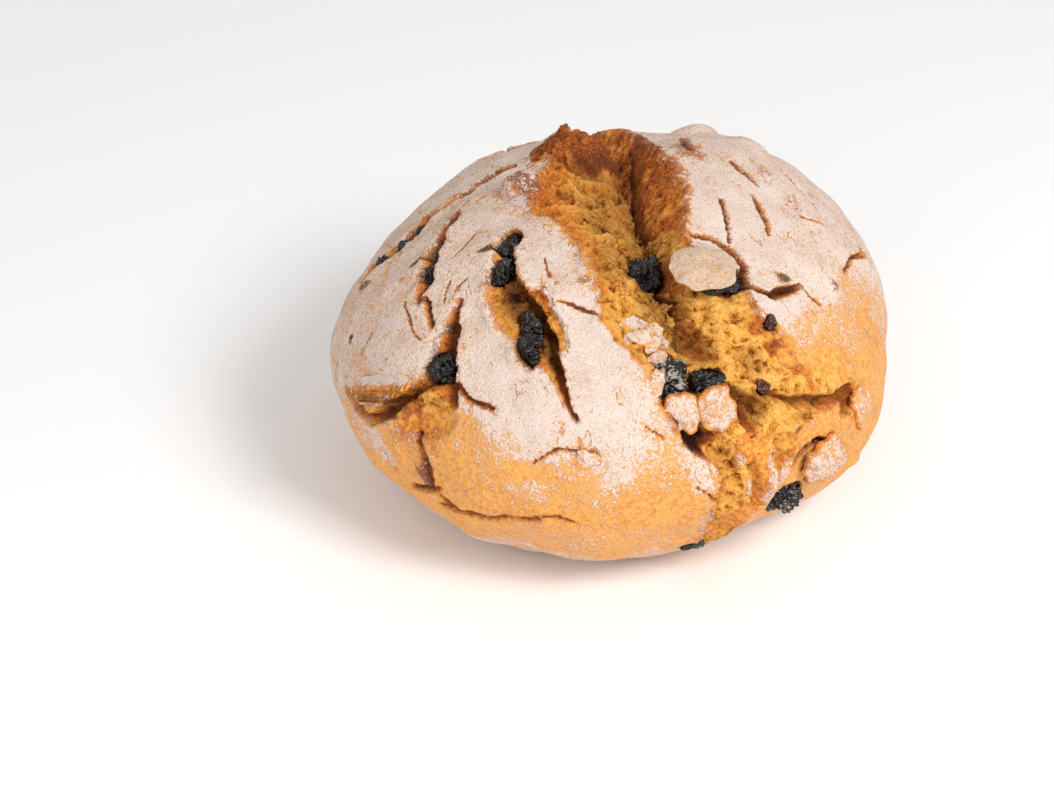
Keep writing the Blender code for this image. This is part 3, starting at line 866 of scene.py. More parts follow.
        return Torn(
            depth=depth * inside * torn,
            shown=inside * torn,
            toast=np.where(across > crease, right_toast, left_toast),
            # Painted shade toward the crease, strongest where the tear is deep
            deep=0.6 * smooth(0.3, 1.0, slope) * smooth(9.0, 19.0, deep),
            rim=rim * np.where(np.minimum(past_left, past_right) < 1.0, 1.0, 0.0),
        )

    def skin(self, dirs: np.ndarray, base: np.ndarray, tear: Torn) -> np.ndarray:
        """The surface with its waves, tear, lumps and pits, but without cracks or pockets.

        Args:
            dirs: Unit directions, one a row.
            base: Distance from the heart of the untorn surface.
            tear: The tear at each direction.

        Returns:
            The surface's distance from the heart.
        """
        rng = np.random.default_rng(self.wave_seed)
        points = dirs * base[:, None]
        radius = base - tear.depth
        for wavelength, height in self.crust_waves:
            radius += height * (1.0 - tear.shown) * waves(points, wavelength, rng)
        for wavelength, height in self.crumb_waves:
            radius += height * tear.shown * waves(points, wavelength, rng)
        for lump in self.lumps.values():
            radius += lump.size * lump.share(dirs, base)
        for pit in self.pits.values():
            radius -= pit.size * pit.share(dirs, base) ** 0.6
        return radius

    def surface(self, dirs: np.ndarray) -> tuple[np.ndarray, dict[Mask, np.ndarray]]:
        """The finished surface and its looks.

        Args:
            dirs: Unit directions, one a row.

        Returns:
            The distance from the heart in millimetres, and the masks of the finish.
        """
        base = self.ball(dirs)
        tear = self.tear(dirs, base)
        radius = self.skin(dirs, base, tear)
        rng = np.random.default_rng(self.wave_seed + 2)
        points = dirs * base[:, None]
        patchy = waves(points, self.flour_patch_mm, rng)
        ragged = 0.7 * waves(points, 7.0, rng) + 0.6 * waves(points, 2.6, rng)
        # Flour's lower edge is uneven, and the tear and its rim shed it
        flour = self.flour_cover(dirs + 0.05 * (patchy + ragged)[:, None] * np.array((0.0, 0.0, 1.0)))
        flour *= 1.0 - smooth(0.05, 0.5, tear.shown)
        flour *= 1.0 - 0.75 * tear.rim
        crumb = tear.shown.copy()
        toast = np.maximum(tear.toast * tear.shown, (0.36 + 0.2 * ragged) * tear.rim)
        # Painted shade toward the tear's crease
        hollow = tear.deep * tear.shown
        for lump in self.lumps.values():
            cover = smooth(0.02, 0.35, lump.share(dirs, base))
            flour = np.maximum(flour, lump.flour * cover)
            crumb *= 1.0 - cover * min(1.0, lump.flour + lump.toast * 0.5)
            toast = np.maximum(toast, lump.toast * cover)
        for pit in self.pits.values():
            share = pit.share(dirs, base)
            cover = smooth(0.0, 0.3, share)
            flour *= 1.0 - cover * 0.85
            toast = np.maximum(toast, pit.toast * cover)
            # Painted shade in pits, by their depth
            hollow = np.maximum(hollow, share * min(1.0, pit.size / 7.0))
        radius += self.rim_height * tear.rim
        for fold in self.folds:
            share = fold.share(dirs, base)
            radius += fold.size * (share if fold.size > 0.0 else share**0.55)
            flour = np.maximum(flour, fold.flour * smooth(0.3, 0.8, share))
            # Painted shade in dips, by their depth
            hollow = np.maximum(hollow, share * max(0.0, -fold.size / 6.0))
        masks = {
            Mask.FLOUR: flour,
            Mask.CRUMB: crumb,
            Mask.TOAST: toast,
            Mask.PAINTED_SHADE: hollow,
            Mask.FRUIT: np.zeros(len(dirs)),
            Mask.CREASED: np.zeros(len(dirs)),
        }
        for mask, dabs in self.dabs.items():
            for dab in dabs:
                dab.paint(masks[mask], dirs, base, ragged)
        # Open crumb holds little flour
        masks[Mask.FLOUR] *= 1.0 - 0.85 * smooth(0.4, 0.9, masks[Mask.CRUMB])
        # The cracks wander a little off their straight paths
        wander = np.stack([waves(points, self.wander_mm, rng) for _ in range(3)], axis=1)
        bent = dirs + self.crack_wander / MEAN_RADIUS * wander
        bent /= np.linalg.norm(bent, axis=1)[:, None]
        torn_edge = 0.8 * waves(points, 9.0, rng) + 0.32 * waves(points, 3.0, rng)
        for crack in (*self.cracks.values(), *self.hairlines):
            self.open_crack(crack, bent, base, radius, masks, torn_edge)
        # Under a raisin the ground is bare and toasted, and gets painted shade
        radius, pocket = self.pockets(dirs, radius)
        masks[Mask.PAINTED_SHADE] = np.maximum(masks[Mask.PAINTED_SHADE], pocket)
        masks[Mask.FLOUR] *= 1.0 - pocket
        masks[Mask.TOAST] = np.maximum(masks[Mask.TOAST], 0.6 * pocket)
        # The flat foot, and a mask that rises from it, so that it stays plain
        foot = self.heart[2] / np.maximum(-dirs[:, 2], 1e-6)
        radius = np.minimum(radius, foot)
        masks[Mask.LIFTED] = smooth(0.5, 6.0, dirs[:, 2] * radius + self.heart[2])
        across, along = self.tear_angles(dirs)
        masks[Mask.ACROSS] = across / 360.0 + 0.5
        masks[Mask.ALONG] = ((along + 90.0) % 360.0) / 360.0
        return radius, {mask: np.clip(values, 0.0, 1.0) for mask, values in masks.items()}

    def open_crack(
        self,
        crack: Crack,
        dirs: np.ndarray,
        base: np.ndarray,
        radius: np.ndarray,
        masks: dict[Mask, np.ndarray],
        ragged: np.ndarray,
    ) -> None:
        """Cut one crack into the surface and its masks.

        Args:
            crack: The crack.
            dirs: Unit directions, one a row.
            base: Distance from the heart of the untorn surface.
            radius: The surface so far, changed in place.
            masks: The masks so far, changed in place.
            ragged: Noise of about -1 to 1 that frays the crack's edges.
        """
        near = crack.near(dirs)
        if len(near) == 0:
            return
        widest = crack.widest()
        distance, width = crack.distance(dirs[near], base[near])
        distance = np.maximum(distance + 0.7 * ragged[near] * min(1.0, widest / 3.0), 0.0)
        x = distance / width
        narrowing, lip = crack.rims(distance, width)
        groove = crack.depth * narrowing * np.clip(1.0 - x**self.groove_power, 0.0, 1.0)
        lip *= np.clip(0.75 + 0.6 * ragged[near], 0.3, 1.3)
        radius[near] += crack.lip * narrowing * lip - groove * (1.0 + 0.3 * ragged[near])
        inside = 1.0 - smooth(0.8, 1.12, x)
        scorched = np.exp(-((distance - width) / (0.25 + 0.25 * widest)) ** 2)
        scorched *= min(1.0, 0.1 + widest / 3.5)
        scorched *= 0.55 + 0.45 * ragged[near]
        scorched = np.clip(scorched, 0.0, 1.0)
        flour, toast, crumb, hollow = (
            masks[mask] for mask in (Mask.FLOUR, Mask.TOAST, Mask.CRUMB, Mask.PAINTED_SHADE)
        )
        flour[near] *= (1.0 - inside) * (1.0 - 0.5 * scorched)
        held = toast[near] * (1.0 - inside) + crack.toast * inside
        toast[near] = np.maximum(held, 0.6 * scorched)
        crumb[near] = crumb[near] * (1.0 - inside) + crack.crumb * inside
        # Painted shade along the crack's middle, stronger for deeper cracks
        deep = inside * (1.0 - smooth(0.15, 0.95, x)) * min(1.0, 0.3 + crack.depth / 5.0)
        hollow[near] = np.maximum(hollow[near], deep)
        creased = masks[Mask.CREASED]
        creased[near] = np.maximum(creased[near], np.where(distance < width + 0.8, 1.0, 0.0))

    def flour_cover(self, dirs: np.ndarray) -> np.ndarray:
        """Measure the flour on the unbroken crust.

        Args:
            dirs: Unit directions, one a row.

        Returns:
            How much flour lies there, 0 to 1.
        """
        azimuth = np.degrees(np.arctan2(dirs[:, 0], -dirs[:, 1]))
        elevation = np.degrees(np.arcsin(np.clip(dirs[:, 2], -1.0, 1.0)))
        line = np.array(self.flour_line)
        above = elevation - np.interp(azimuth, line[:, 0], line[:, 1])
        cover = 0.2 + 0.61 * smooth(-13.0, 11.0, above)
        rim_dust = 0.6 * smooth(-14.0, -26.0, elevation)
        return np.maximum(cover, rim_dust)

    def plain_radius(self, place: Angles) -> float:
        """Measure the solid's surface at one place, without the raisins' pockets.

        Args:
            place: Azimuth and elevation in degrees.

        Returns:
            Its distance from the heart.
        """
        dirs = direction(place)[None, :]
        base = self.ball(dirs)
        radius = self.skin(dirs, base, self.tear(dirs, base, 0.0))
        for crack in self.cracks.values():
            distance, width = crack.distance(dirs, base)
            narrowing, lip = crack.rims(distance, width)
            groove = crack.depth * np.clip(1.0 - (distance / width) ** self.solid_groove_power, 0.0, 1.0)
            radius += narrowing * (crack.lip * lip - groove)
        return float(radius[0])

    def pockets(self, dirs: np.ndarray, radius: np.ndarray) -> tuple[np.ndarray, np.ndarray]:
        """Hollow the surface under each raisin.

        Args:
            dirs: Unit directions, one a row.
            radius: Distance from the heart of each direction's surface.

        Returns:
            The new distances, and how far each direction is inside a pocket, 0 to 1.
        """
        inside_any = np.zeros(len(dirs))
        for fruit in self.fruit.values():
            across, along, outward = fruit.axes()
            middle = self.plain_radius(fruit.place) - fruit.sink
            near = np.nonzero(dirs @ outward > math.cos(self.pocket_reach))[0]
            if len(near) == 0:
                continue
            close = dirs[near]
            x = (close @ across) * middle / (fruit.half_sizes[0] + self.pocket_gap)
            y = (close @ along) * middle / (fruit.half_sizes[1] + self.pocket_gap)
            spread = x**2 + y**2
            depth = (fruit.half_sizes[2] + self.pocket_gap) * np.sqrt(np.clip(1.0 - spread, 0.0, 1.0))
            floor = (middle - depth) / np.maximum(close @ outward, 0.9)
            radius[near] = np.where(spread < 1.0, np.minimum(radius[near], floor), radius[near])
            inside_any[near] = np.maximum(inside_any[near], 1.0 - smooth(0.8, 1.15, spread))
        return radius, inside_any


# ---------------------------------------------------------------- finishes


def begin_material(name: str, masks: tuple[Mask, ...]) -> tuple[Material, NodeSocket, Sockets]:
    """Begin a node material that reads masks of its mesh.

    Args:
        name: The material's name.
        masks: The masks that it reads.

    Returns:
        The material, the socket of a point's place in metres, and the socket of each mask.
    """
    material = bpy.data.materials.new(name)
    material.use_nodes = True
    tree = material.node_tree
    tree.nodes.clear()
    place = add_node(tree, "ShaderNodeTexCoord").outputs["Object"]
    read = {
        mask: add_node(tree, "ShaderNodeAttribute", attribute_name=mask.value).outputs["Fac"]
        for mask in masks
    }
    return material, place, read


def end_material(
    tree: NodeTree, looks: dict[str, object], height: NodeSocket, strength: float, relief_mm: float
) -> None:
    """Join a material's looks and its fine relief to its output.

    Args:
        tree: The material's node tree.
        looks: Inputs of the surface shader, by name.
        height: The socket of the relief.
        strength: How strongly the relief shows, 0 to 1.
        relief_mm: The relief's height in millimetres.
    """
    bump = add_node(tree, "ShaderNodeBump", {
        "Height": height, "Strength": strength, "Distance": relief_mm * MM,
    }).outputs["Normal"]
    shader = add_node(tree, "ShaderNodeBsdfPrincipled", {**looks, "Normal": bump, "IOR": FOOD_IOR})
    add_node(tree, "ShaderNodeOutputMaterial", {"Surface": shader.outputs["BSDF"]})


@dataclass(frozen=True)
class BakedCrustFinish:
    """Baked crust of wheat and corn dough under a dusting of flour.

    The skin dries and browns in the oven, most where it stands proud, and is faintly
    shiny where bare. Dry flour lies over it as a matt, chalky coat that is mottled with
    the brown skin and gathers in patches. Hollows, cracks and pockets get painted shade.
    """

    name: str = "baked_crust"
    skin: Stops = (
        (0.04, "#F4AE57"), (0.24, "#E49637"), (0.46, "#CA752B"), (0.68, "#9A4F1E"), (1.0, "#5C2A12"),
    )
    # Colour of the painted shade in hollows, cracks and pockets
    hollow: str = "#241008"
    dry_skin: str = "#A07A60"
    flour: Stops = ((0.3, "#CBB3A4"), (0.5, "#DDC9BD"), (0.7, "#EAD8CE"))
    fruit: str = "#2A2226"
    patch_mm: float = 11.0
    # Flour is far finer: its specks and grains are drawn as coarse as they need to show
    speckle_mm: float = 1.9
    grain_mm: float = 0.75
    # Fine splits, drawn out along the tear, and the patches that they lie in
    split_mm: float = 5.0
    split_width: float = 0.03
    island_mm: float = 5.5
    drawn_out: float = 0.3
    # The sum of flour and noise at which the coat begins and is full, and its densest share
    coat_begins: float = 2.04
    coat_full: float = 2.37
    densest_coat: float = 0.93

    def splits(self, tree: NodeTree, mask: Sockets) -> NodeSocket:
        """Thin lines where a noise drawn out along the tear crosses its middle.

        Args:
            tree: The material's node tree.
            mask: The sockets of the masks.

        Returns:
            The socket of the splits, 1 on a line.
        """
        round_mm = 2.0 * math.pi * MEAN_RADIUS
        flow = add_node(tree, "ShaderNodeCombineXYZ", {
            "X": mask[Mask.ACROSS], "Y": mask[Mask.ALONG],
        }).outputs["Vector"]
        flow = add_node(tree, "ShaderNodeVectorMath", {
            0: flow, 1: (round_mm, self.drawn_out * round_mm, 1.0),
        }, operation="MULTIPLY").outputs["Vector"]
        line, islands = (
            add_node(tree, "ShaderNodeTexNoise", {
                "Vector": flow, "Scale": 1.0 / size, "Detail": detail,
            }).outputs["Fac"]
            for size, detail in ((self.split_mm, 2.0), (self.island_mm, 1.0))
        )
        off_line = add_node(tree, "ShaderNodeMath", {0: line, 1: 0.5}, operation="SUBTRACT").outputs[0]
        off_line = add_node(tree, "ShaderNodeMath", {0: off_line}, operation="ABSOLUTE").outputs[0]
        split = add_node(tree, "ShaderNodeMapRange", {
            "Value": off_line, "From Max": self.split_width, "To Min": 1.0, "To Max": 0.0,
        }).outputs["Result"]
        # They lie in patches, and only where the skin is floured
        for value, low, high in ((islands, 0.54, 0.64), (mask[Mask.FLOUR], 0.4, 0.7)):
            share = add_node(tree, "ShaderNodeMapRange", {
                "Value": value, "From Min": low, "From Max": high,
            }).outputs["Result"]
            split = add_node(tree, "ShaderNodeMath", {0: split, 1: share}, operation="MULTIPLY").outputs[0]
        return split

    def material(self) -> Material:
        """Build the node material that reads the loaf's masks.

        Returns:
            The material.
        """
        material, place, mask = begin_material(
            self.name, (Mask.FLOUR, Mask.TOAST, Mask.PAINTED_SHADE, Mask.FRUIT, Mask.ACROSS, Mask.ALONG)
        )
        tree = material.node_tree
        patch, speckle, grain = (
            add_node(tree, "ShaderNodeTexNoise", {
                "Vector": place, "Scale": 1.0 / (size * MM), "Detail": detail, "Roughness": 0.65,
            }).outputs["Fac"]
            for size, detail in ((self.patch_mm, 4.0), (self.speckle_mm, 3.0), (self.grain_mm, 1.0))
        )
        split = self.splits(tree, mask)
        sums = []
        for total, parts in (
            # Bare skin, browner with the toast mask, in patches and in specks
            (-0.89, ((patch, 0.6), (speckle, 1.5), (mask[Mask.TOAST], 0.8), (split, 0.22))),
            # Flour: its mask, broken up by patches, specks and grains, and lost over splits and fruit
            (mask[Mask.FLOUR], (
                (patch, 0.6), (speckle, 1.5), (grain, 1.2), (split, -0.5), (mask[Mask.FRUIT], -0.75),
            )),
            # The flour's own shade
            (-0.05, ((patch, 0.55), (grain, 0.55))),
            # Fine relief
            (grain, ((speckle, 0.8), (split, -0.35))),
        ):
            for part, weight in parts:
                total = add_node(
                    tree, "ShaderNodeMath", {0: part, 1: weight, 2: total}, operation="MULTIPLY_ADD"
                ).outputs[0]
            sums.append(total)
        tone, amount, chalk, height = sums
        skin = add_node(tree, "ShaderNodeValToRGB", {"Fac": tone}, self.skin).outputs["Color"]
        flour = add_node(tree, "ShaderNodeValToRGB", {"Fac": chalk}, self.flour).outputs["Color"]
        coat = add_node(tree, "ShaderNodeMapRange", {
            "Value": amount, "From Min": self.coat_begins, "From Max": self.coat_full,
            "To Max": self.densest_coat,
        }).outputs["Result"]
        # Painted shade darkens hollows, skin under flour is drier, fruit shows through it, and flour covers
        # all
        shaded, dried = (
            add_node(tree, "ShaderNodeMath", {0: mask[name], 1: most}, operation="MULTIPLY").outputs[0]
            for name, most in ((Mask.PAINTED_SHADE, 0.92), (Mask.FLOUR, 0.6))
        )
        colour = skin
        for share, over in (
            (shaded, linear(self.hollow)), (dried, linear(self.dry_skin)),
            (mask[Mask.FRUIT], linear(self.fruit)), (coat, flour),
        ):
            colour = add_node(tree, "ShaderNodeMix", {
                "Factor": share, "A": colour, "B": over,
            }, data_type="RGBA").outputs[2]
        rough = add_node(tree, "ShaderNodeMapRange", {
            "Value": coat, "From Max": 0.5, "To Min": 0.5, "To Max": 0.95,
        }).outputs["Result"]
        looks = {"Base Color": colour, "Roughness": rough, "Specular IOR Level": 0.35}
        end_material(tree, looks, height, 0.95, 0.55)
        return material


@dataclass(frozen=True)
class TornCrumbFinish:
    """Crumb of corn dough, torn open while it baked.

    Torn cell walls are matt and golden, pores and hollows get painted shade, darker and
    browner, and the parts nearest the oven's heat are toasted to orange and brown.
    """

    crumb: Stops = ((0.08, "#5E2E0E"), (0.3, "#A86420"), (0.5, "#DA963A"), (0.78, "#F6C066"))
    toasted: Stops = ((0.1, "#E99C44"), (0.4, "#D07B2C"), (0.7, "#A6561F"), (1.0, "#6C3314"))
    # Colour of the painted shade
    hollow: str = "#43200B"
    flour: str = "#F0DCCB"
    patch_mm: float = 9.0
    grain_mm: float = 0.95

    def material(self) -> Material:
        """Build the node material that reads the crumb's masks.

        Returns:
            The material.
        """
        material, place, mask = begin_material(
            "torn_crumb", (Mask.FLOUR, Mask.TOAST, Mask.PAINTED_SHADE, Mask.PORE_SHADE)
        )
        tree = material.node_tree
        patch, grain = (
            add_node(tree, "ShaderNodeTexNoise", {
                "Vector": place, "Scale": 1.0 / (size * MM), "Detail": 4.0, "Roughness": 0.65,
            }).outputs["Fac"]
            for size in (self.patch_mm, self.grain_mm)
        )
        sums = []
        for total, parts in (
            # Open crumb, with painted shade in its pores and hollows
            (-0.46, ((patch, 0.8), (grain, 1.3), (mask[Mask.PORE_SHADE], -0.42), (mask[Mask.PAINTED_SHADE], -0.12))),
            # Where it is toasted
            (mask[Mask.TOAST], ((grain, 0.8), (patch, 0.5))),
            # How brown the toasted crumb is, browner under painted shade in its pores
            (-1.08, ((mask[Mask.TOAST], 1.0), (grain, 1.6), (patch, 0.5), (mask[Mask.PORE_SHADE], 0.3))),
            # Flour that fell in
            (mask[Mask.FLOUR], ((grain, 1.0),)),
        ):
            for part, weight in parts:
                total = add_node(
                    tree, "ShaderNodeMath", {0: part, 1: weight, 2: total}, operation="MULTIPLY_ADD"
                ).outputs[0]
            sums.append(total)
        tone, heat, brown, dusting = sums
        colour, toasted = (
            add_node(tree, "ShaderNodeValToRGB", {"Fac": value}, stops).outputs["Color"]
            for value, stops in ((tone, self.crumb), (brown, self.toasted))
        )
        baked, dust = (
            add_node(tree, "ShaderNodeMapRange", {
                "Value": value, "From Min": low, "From Max": high,
            }).outputs["Result"]
            for value, low, high in ((heat, 0.82, 1.12), (dusting, 0.75, 1.2))
        )
        # Painted shade over hollows and the tear's crease
        shaded = add_node(tree, "ShaderNodeMath", {
            0: mask[Mask.PAINTED_SHADE], 1: 0.8,
        }, operation="MULTIPLY").outputs[0]
        for share, over in ((baked, toasted), (shaded, linear(self.hollow)), (dust, linear(self.flour))):
            colour = add_node(tree, "ShaderNodeMix", {
                "Factor": share, "A": colour, "B": over,
            }, data_type="RGBA").outputs[2]
        looks = {"Base Color": colour, "Roughness": 0.78, "Specular IOR Level": 0.3}
        end_material(tree, looks, grain, 0.9, 0.7)
        return material


@dataclass(frozen=True)
class DriedRaisinFinish:
    """Dried grape baked in dough.

    A near-black, leathery skin with a faint sheen, and dry flour on its folds, whose pale specks also stand
    in as painted glints.
    """

    skin: Stops = ((0.3, "#060304"), (0.55, "#0E0909"), (0.8, "#241B1A"))
    red_skin: str = "#5E2018"
    # Colour of flour specks, which also serve as painted glints
    dust: str = "#D2C4B6"
    wrinkle_mm: float = 2.0
    dust_mm: float = 0.9
    patch_mm: float = 3.5
    densest_dust: float = 0.65

    def material(self, name: str, dust: float, red: float) -> Material:
        """Build a raisin's node material.

        Args:
            name: The material's name.
            dust: Share of the skin that flour covers.
            red: How red the thin, torn skin shows.

        Returns:
            The material.
        """
        material, place, _ = begin_material(name, ())
        tree = material.node_tree
        wrinkle, dusting, patches = (
            add_node(tree, "ShaderNodeTexNoise", {
                "Vector": place, "Scale": 1.0 / (size * MM), "Detail": 3.0, "Roughness": rough,
            }).outputs["Fac"]
            for size, rough in ((self.wrinkle_mm, 0.6), (self.dust_mm, 0.6), (self.patch_mm, 0.7))
        )
        amount, height = (
            add_node(
                tree, "ShaderNodeMath", {0: part, 1: weight, 2: start}, operation="MULTIPLY_ADD"
            ).outputs[0]
            for part, weight, start in ((patches, 2.2 * dust, dusting), (dusting, 0.6, wrinkle))
        )
        # Pale specks of flour, partly painted glints; the threshold rises with the dust, so that a dusted
        # raisin keeps dark folds
        cover = add_node(tree, "ShaderNodeMapRange", {
            "Value": amount, "From Min": 0.615 + 0.97 * dust, "From Max": 0.72 + 0.97 * dust,
            "To Max": self.densest_dust,
        }).outputs["Result"]
        colour = add_node(tree, "ShaderNodeValToRGB", {"Fac": wrinkle}, self.skin).outputs["Color"]
        for share, over in ((0.8 * red, self.red_skin), (cover, self.dust)):
            colour = add_node(tree, "ShaderNodeMix", {
                "Factor": share, "A": colour, "B": linear(over),
            }, data_type="RGBA").outputs[2]
        looks = {"Base Color": colour, "Roughness": 0.25, "Specular IOR Level": 0.7}
        end_material(tree, looks, height, 1.0, 0.9)
        return material


@dataclass(frozen=True)
class PlainFinish:
    """A plain matt colour."""

    name: str
    colour: str
    roughness: float = 0.9

    def material(self) -> Material:
        """Build the material.

        Returns:
            The material.
        """
        material = bpy.data.materials.new(self.name)
        material.use_nodes = True
        shader = material.node_tree.nodes["Principled BSDF"]
        shader.inputs["Base Color"].default_value = linear(self.colour)
        shader.inputs["Roughness"].default_value = self.roughness
        return material


# ---------------------------------------------------------------- mesh helpers


def ball_mesh(name: str, level: int) -> tuple[Mesh, np.ndarray]:
    """An even ball of radius 1.

    Args:
        name: The mesh's name.
        level: How often its twenty faces are split.

    Returns:
        The mesh and its points, one a row.
    """
    shape = bmesh.new()
    bmesh.ops.create_icosphere(shape, subdivisions=level, radius=1.0)
    mesh = bpy.data.meshes.new(name)
    shape.to_mesh(mesh)
    shape.free()
    points = points_of(mesh)
    return mesh, points / np.linalg.norm(points, axis=1)[:, None]


def points_of(mesh: Mesh) -> np.ndarray:
    """Read the points of a mesh.

    Args:
        mesh: The mesh.

    Returns:
        Its points, one a row.
    """
    places = np.empty(len(mesh.vertices) * 3)
    mesh.vertices.foreach_get("co", places)
    return places.reshape(-1, 3)


def place_points(mesh: Mesh, places: np.ndarray) -> None:
    """Move a mesh's points, held inside the solid model's box.

    Args:
        mesh: The mesh.
        places: The new points in metres, one a row.
    """
    held = np.clip(places, np.array(CAD_BOX[0]), np.array(CAD_BOX[1]))
    mesh.vertices.foreach_set("co", held.ravel())
    mesh.update()


def write_masks(mesh: Mesh, masks: dict[Mask, np.ndarray]) -> None:
    """Store masks as attributes of a mesh's points.

    Args:
        mesh: The mesh.
        masks: The values of each mask, one a point.
    """
    for mask, values in masks.items():
        attribute = mesh.attributes.get(mask.value) or mesh.attributes.new(mask.value, "FLOAT", "POINT")
        attribute.data.foreach_set("value", values.astype(np.float32))


def apply_tree(
    mesh: Mesh,
    tree: NodeTree,
    thin_to: int = 0,
    kept: np.ndarray | None = None,
    **values: float,
) -> Mesh:
    """Run geometry nodes on a mesh and keep the result as plain mesh.

    Args:
        mesh: The mesh that goes in.
        tree: The geometry nodes.
        thin_to: Number of triangles that the result is thinned out to, or 0 to keep all.
        kept: True for each point that is not thinned out, or None.
        **values: Inputs of the tree by name, with _ for a space.

    Returns:
        The new mesh.
    """
    holder = bpy.data.objects.new(mesh.name + "_holder", mesh)
    bpy.context.scene.collection.objects.link(holder)
    nodes = holder.modifiers.new("nodes", "NODES")
    nodes.node_group = tree
    for item in tree.interface.items_tree:
        key = item.name.replace(" ", "_")
        if key in values:
            nodes[item.identifier] = values[key]
    if thin_to:
        thin = holder.modifiers.new("thin_out", "DECIMATE")
        thin.ratio = min(1.0, thin_to / max(1, len(mesh.polygons)))
        if kept is not None:
            group = holder.vertex_groups.new(name="thinned")
            group.add(np.nonzero(~kept)[0].tolist(), 1.0, "REPLACE")
            thin.vertex_group = group.name
    graph = bpy.context.evaluated_depsgraph_get()
    finished = bpy.data.meshes.new_from_object(holder.evaluated_get(graph))
    bpy.data.objects.remove(holder)
    return finished


def add_piece(name: str, mesh: Mesh, node: str | None) -> Object:
    """Put a finished mesh in the scene as a piece of the bread.

    Args:
        name: The piece's name.
        mesh: Its mesh, with its material.
        node: The node that it replaces, or None where it lies on another piece.

    Returns:
        The piece.
    """
    piece = bpy.data.objects.new(name, mesh)
    bpy.context.scene.collection.objects.link(piece)
    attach(piece, BODY)
    if node:
        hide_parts(node)
    log.info("%s: %d faces", name, len(mesh.polygons))
    return piece


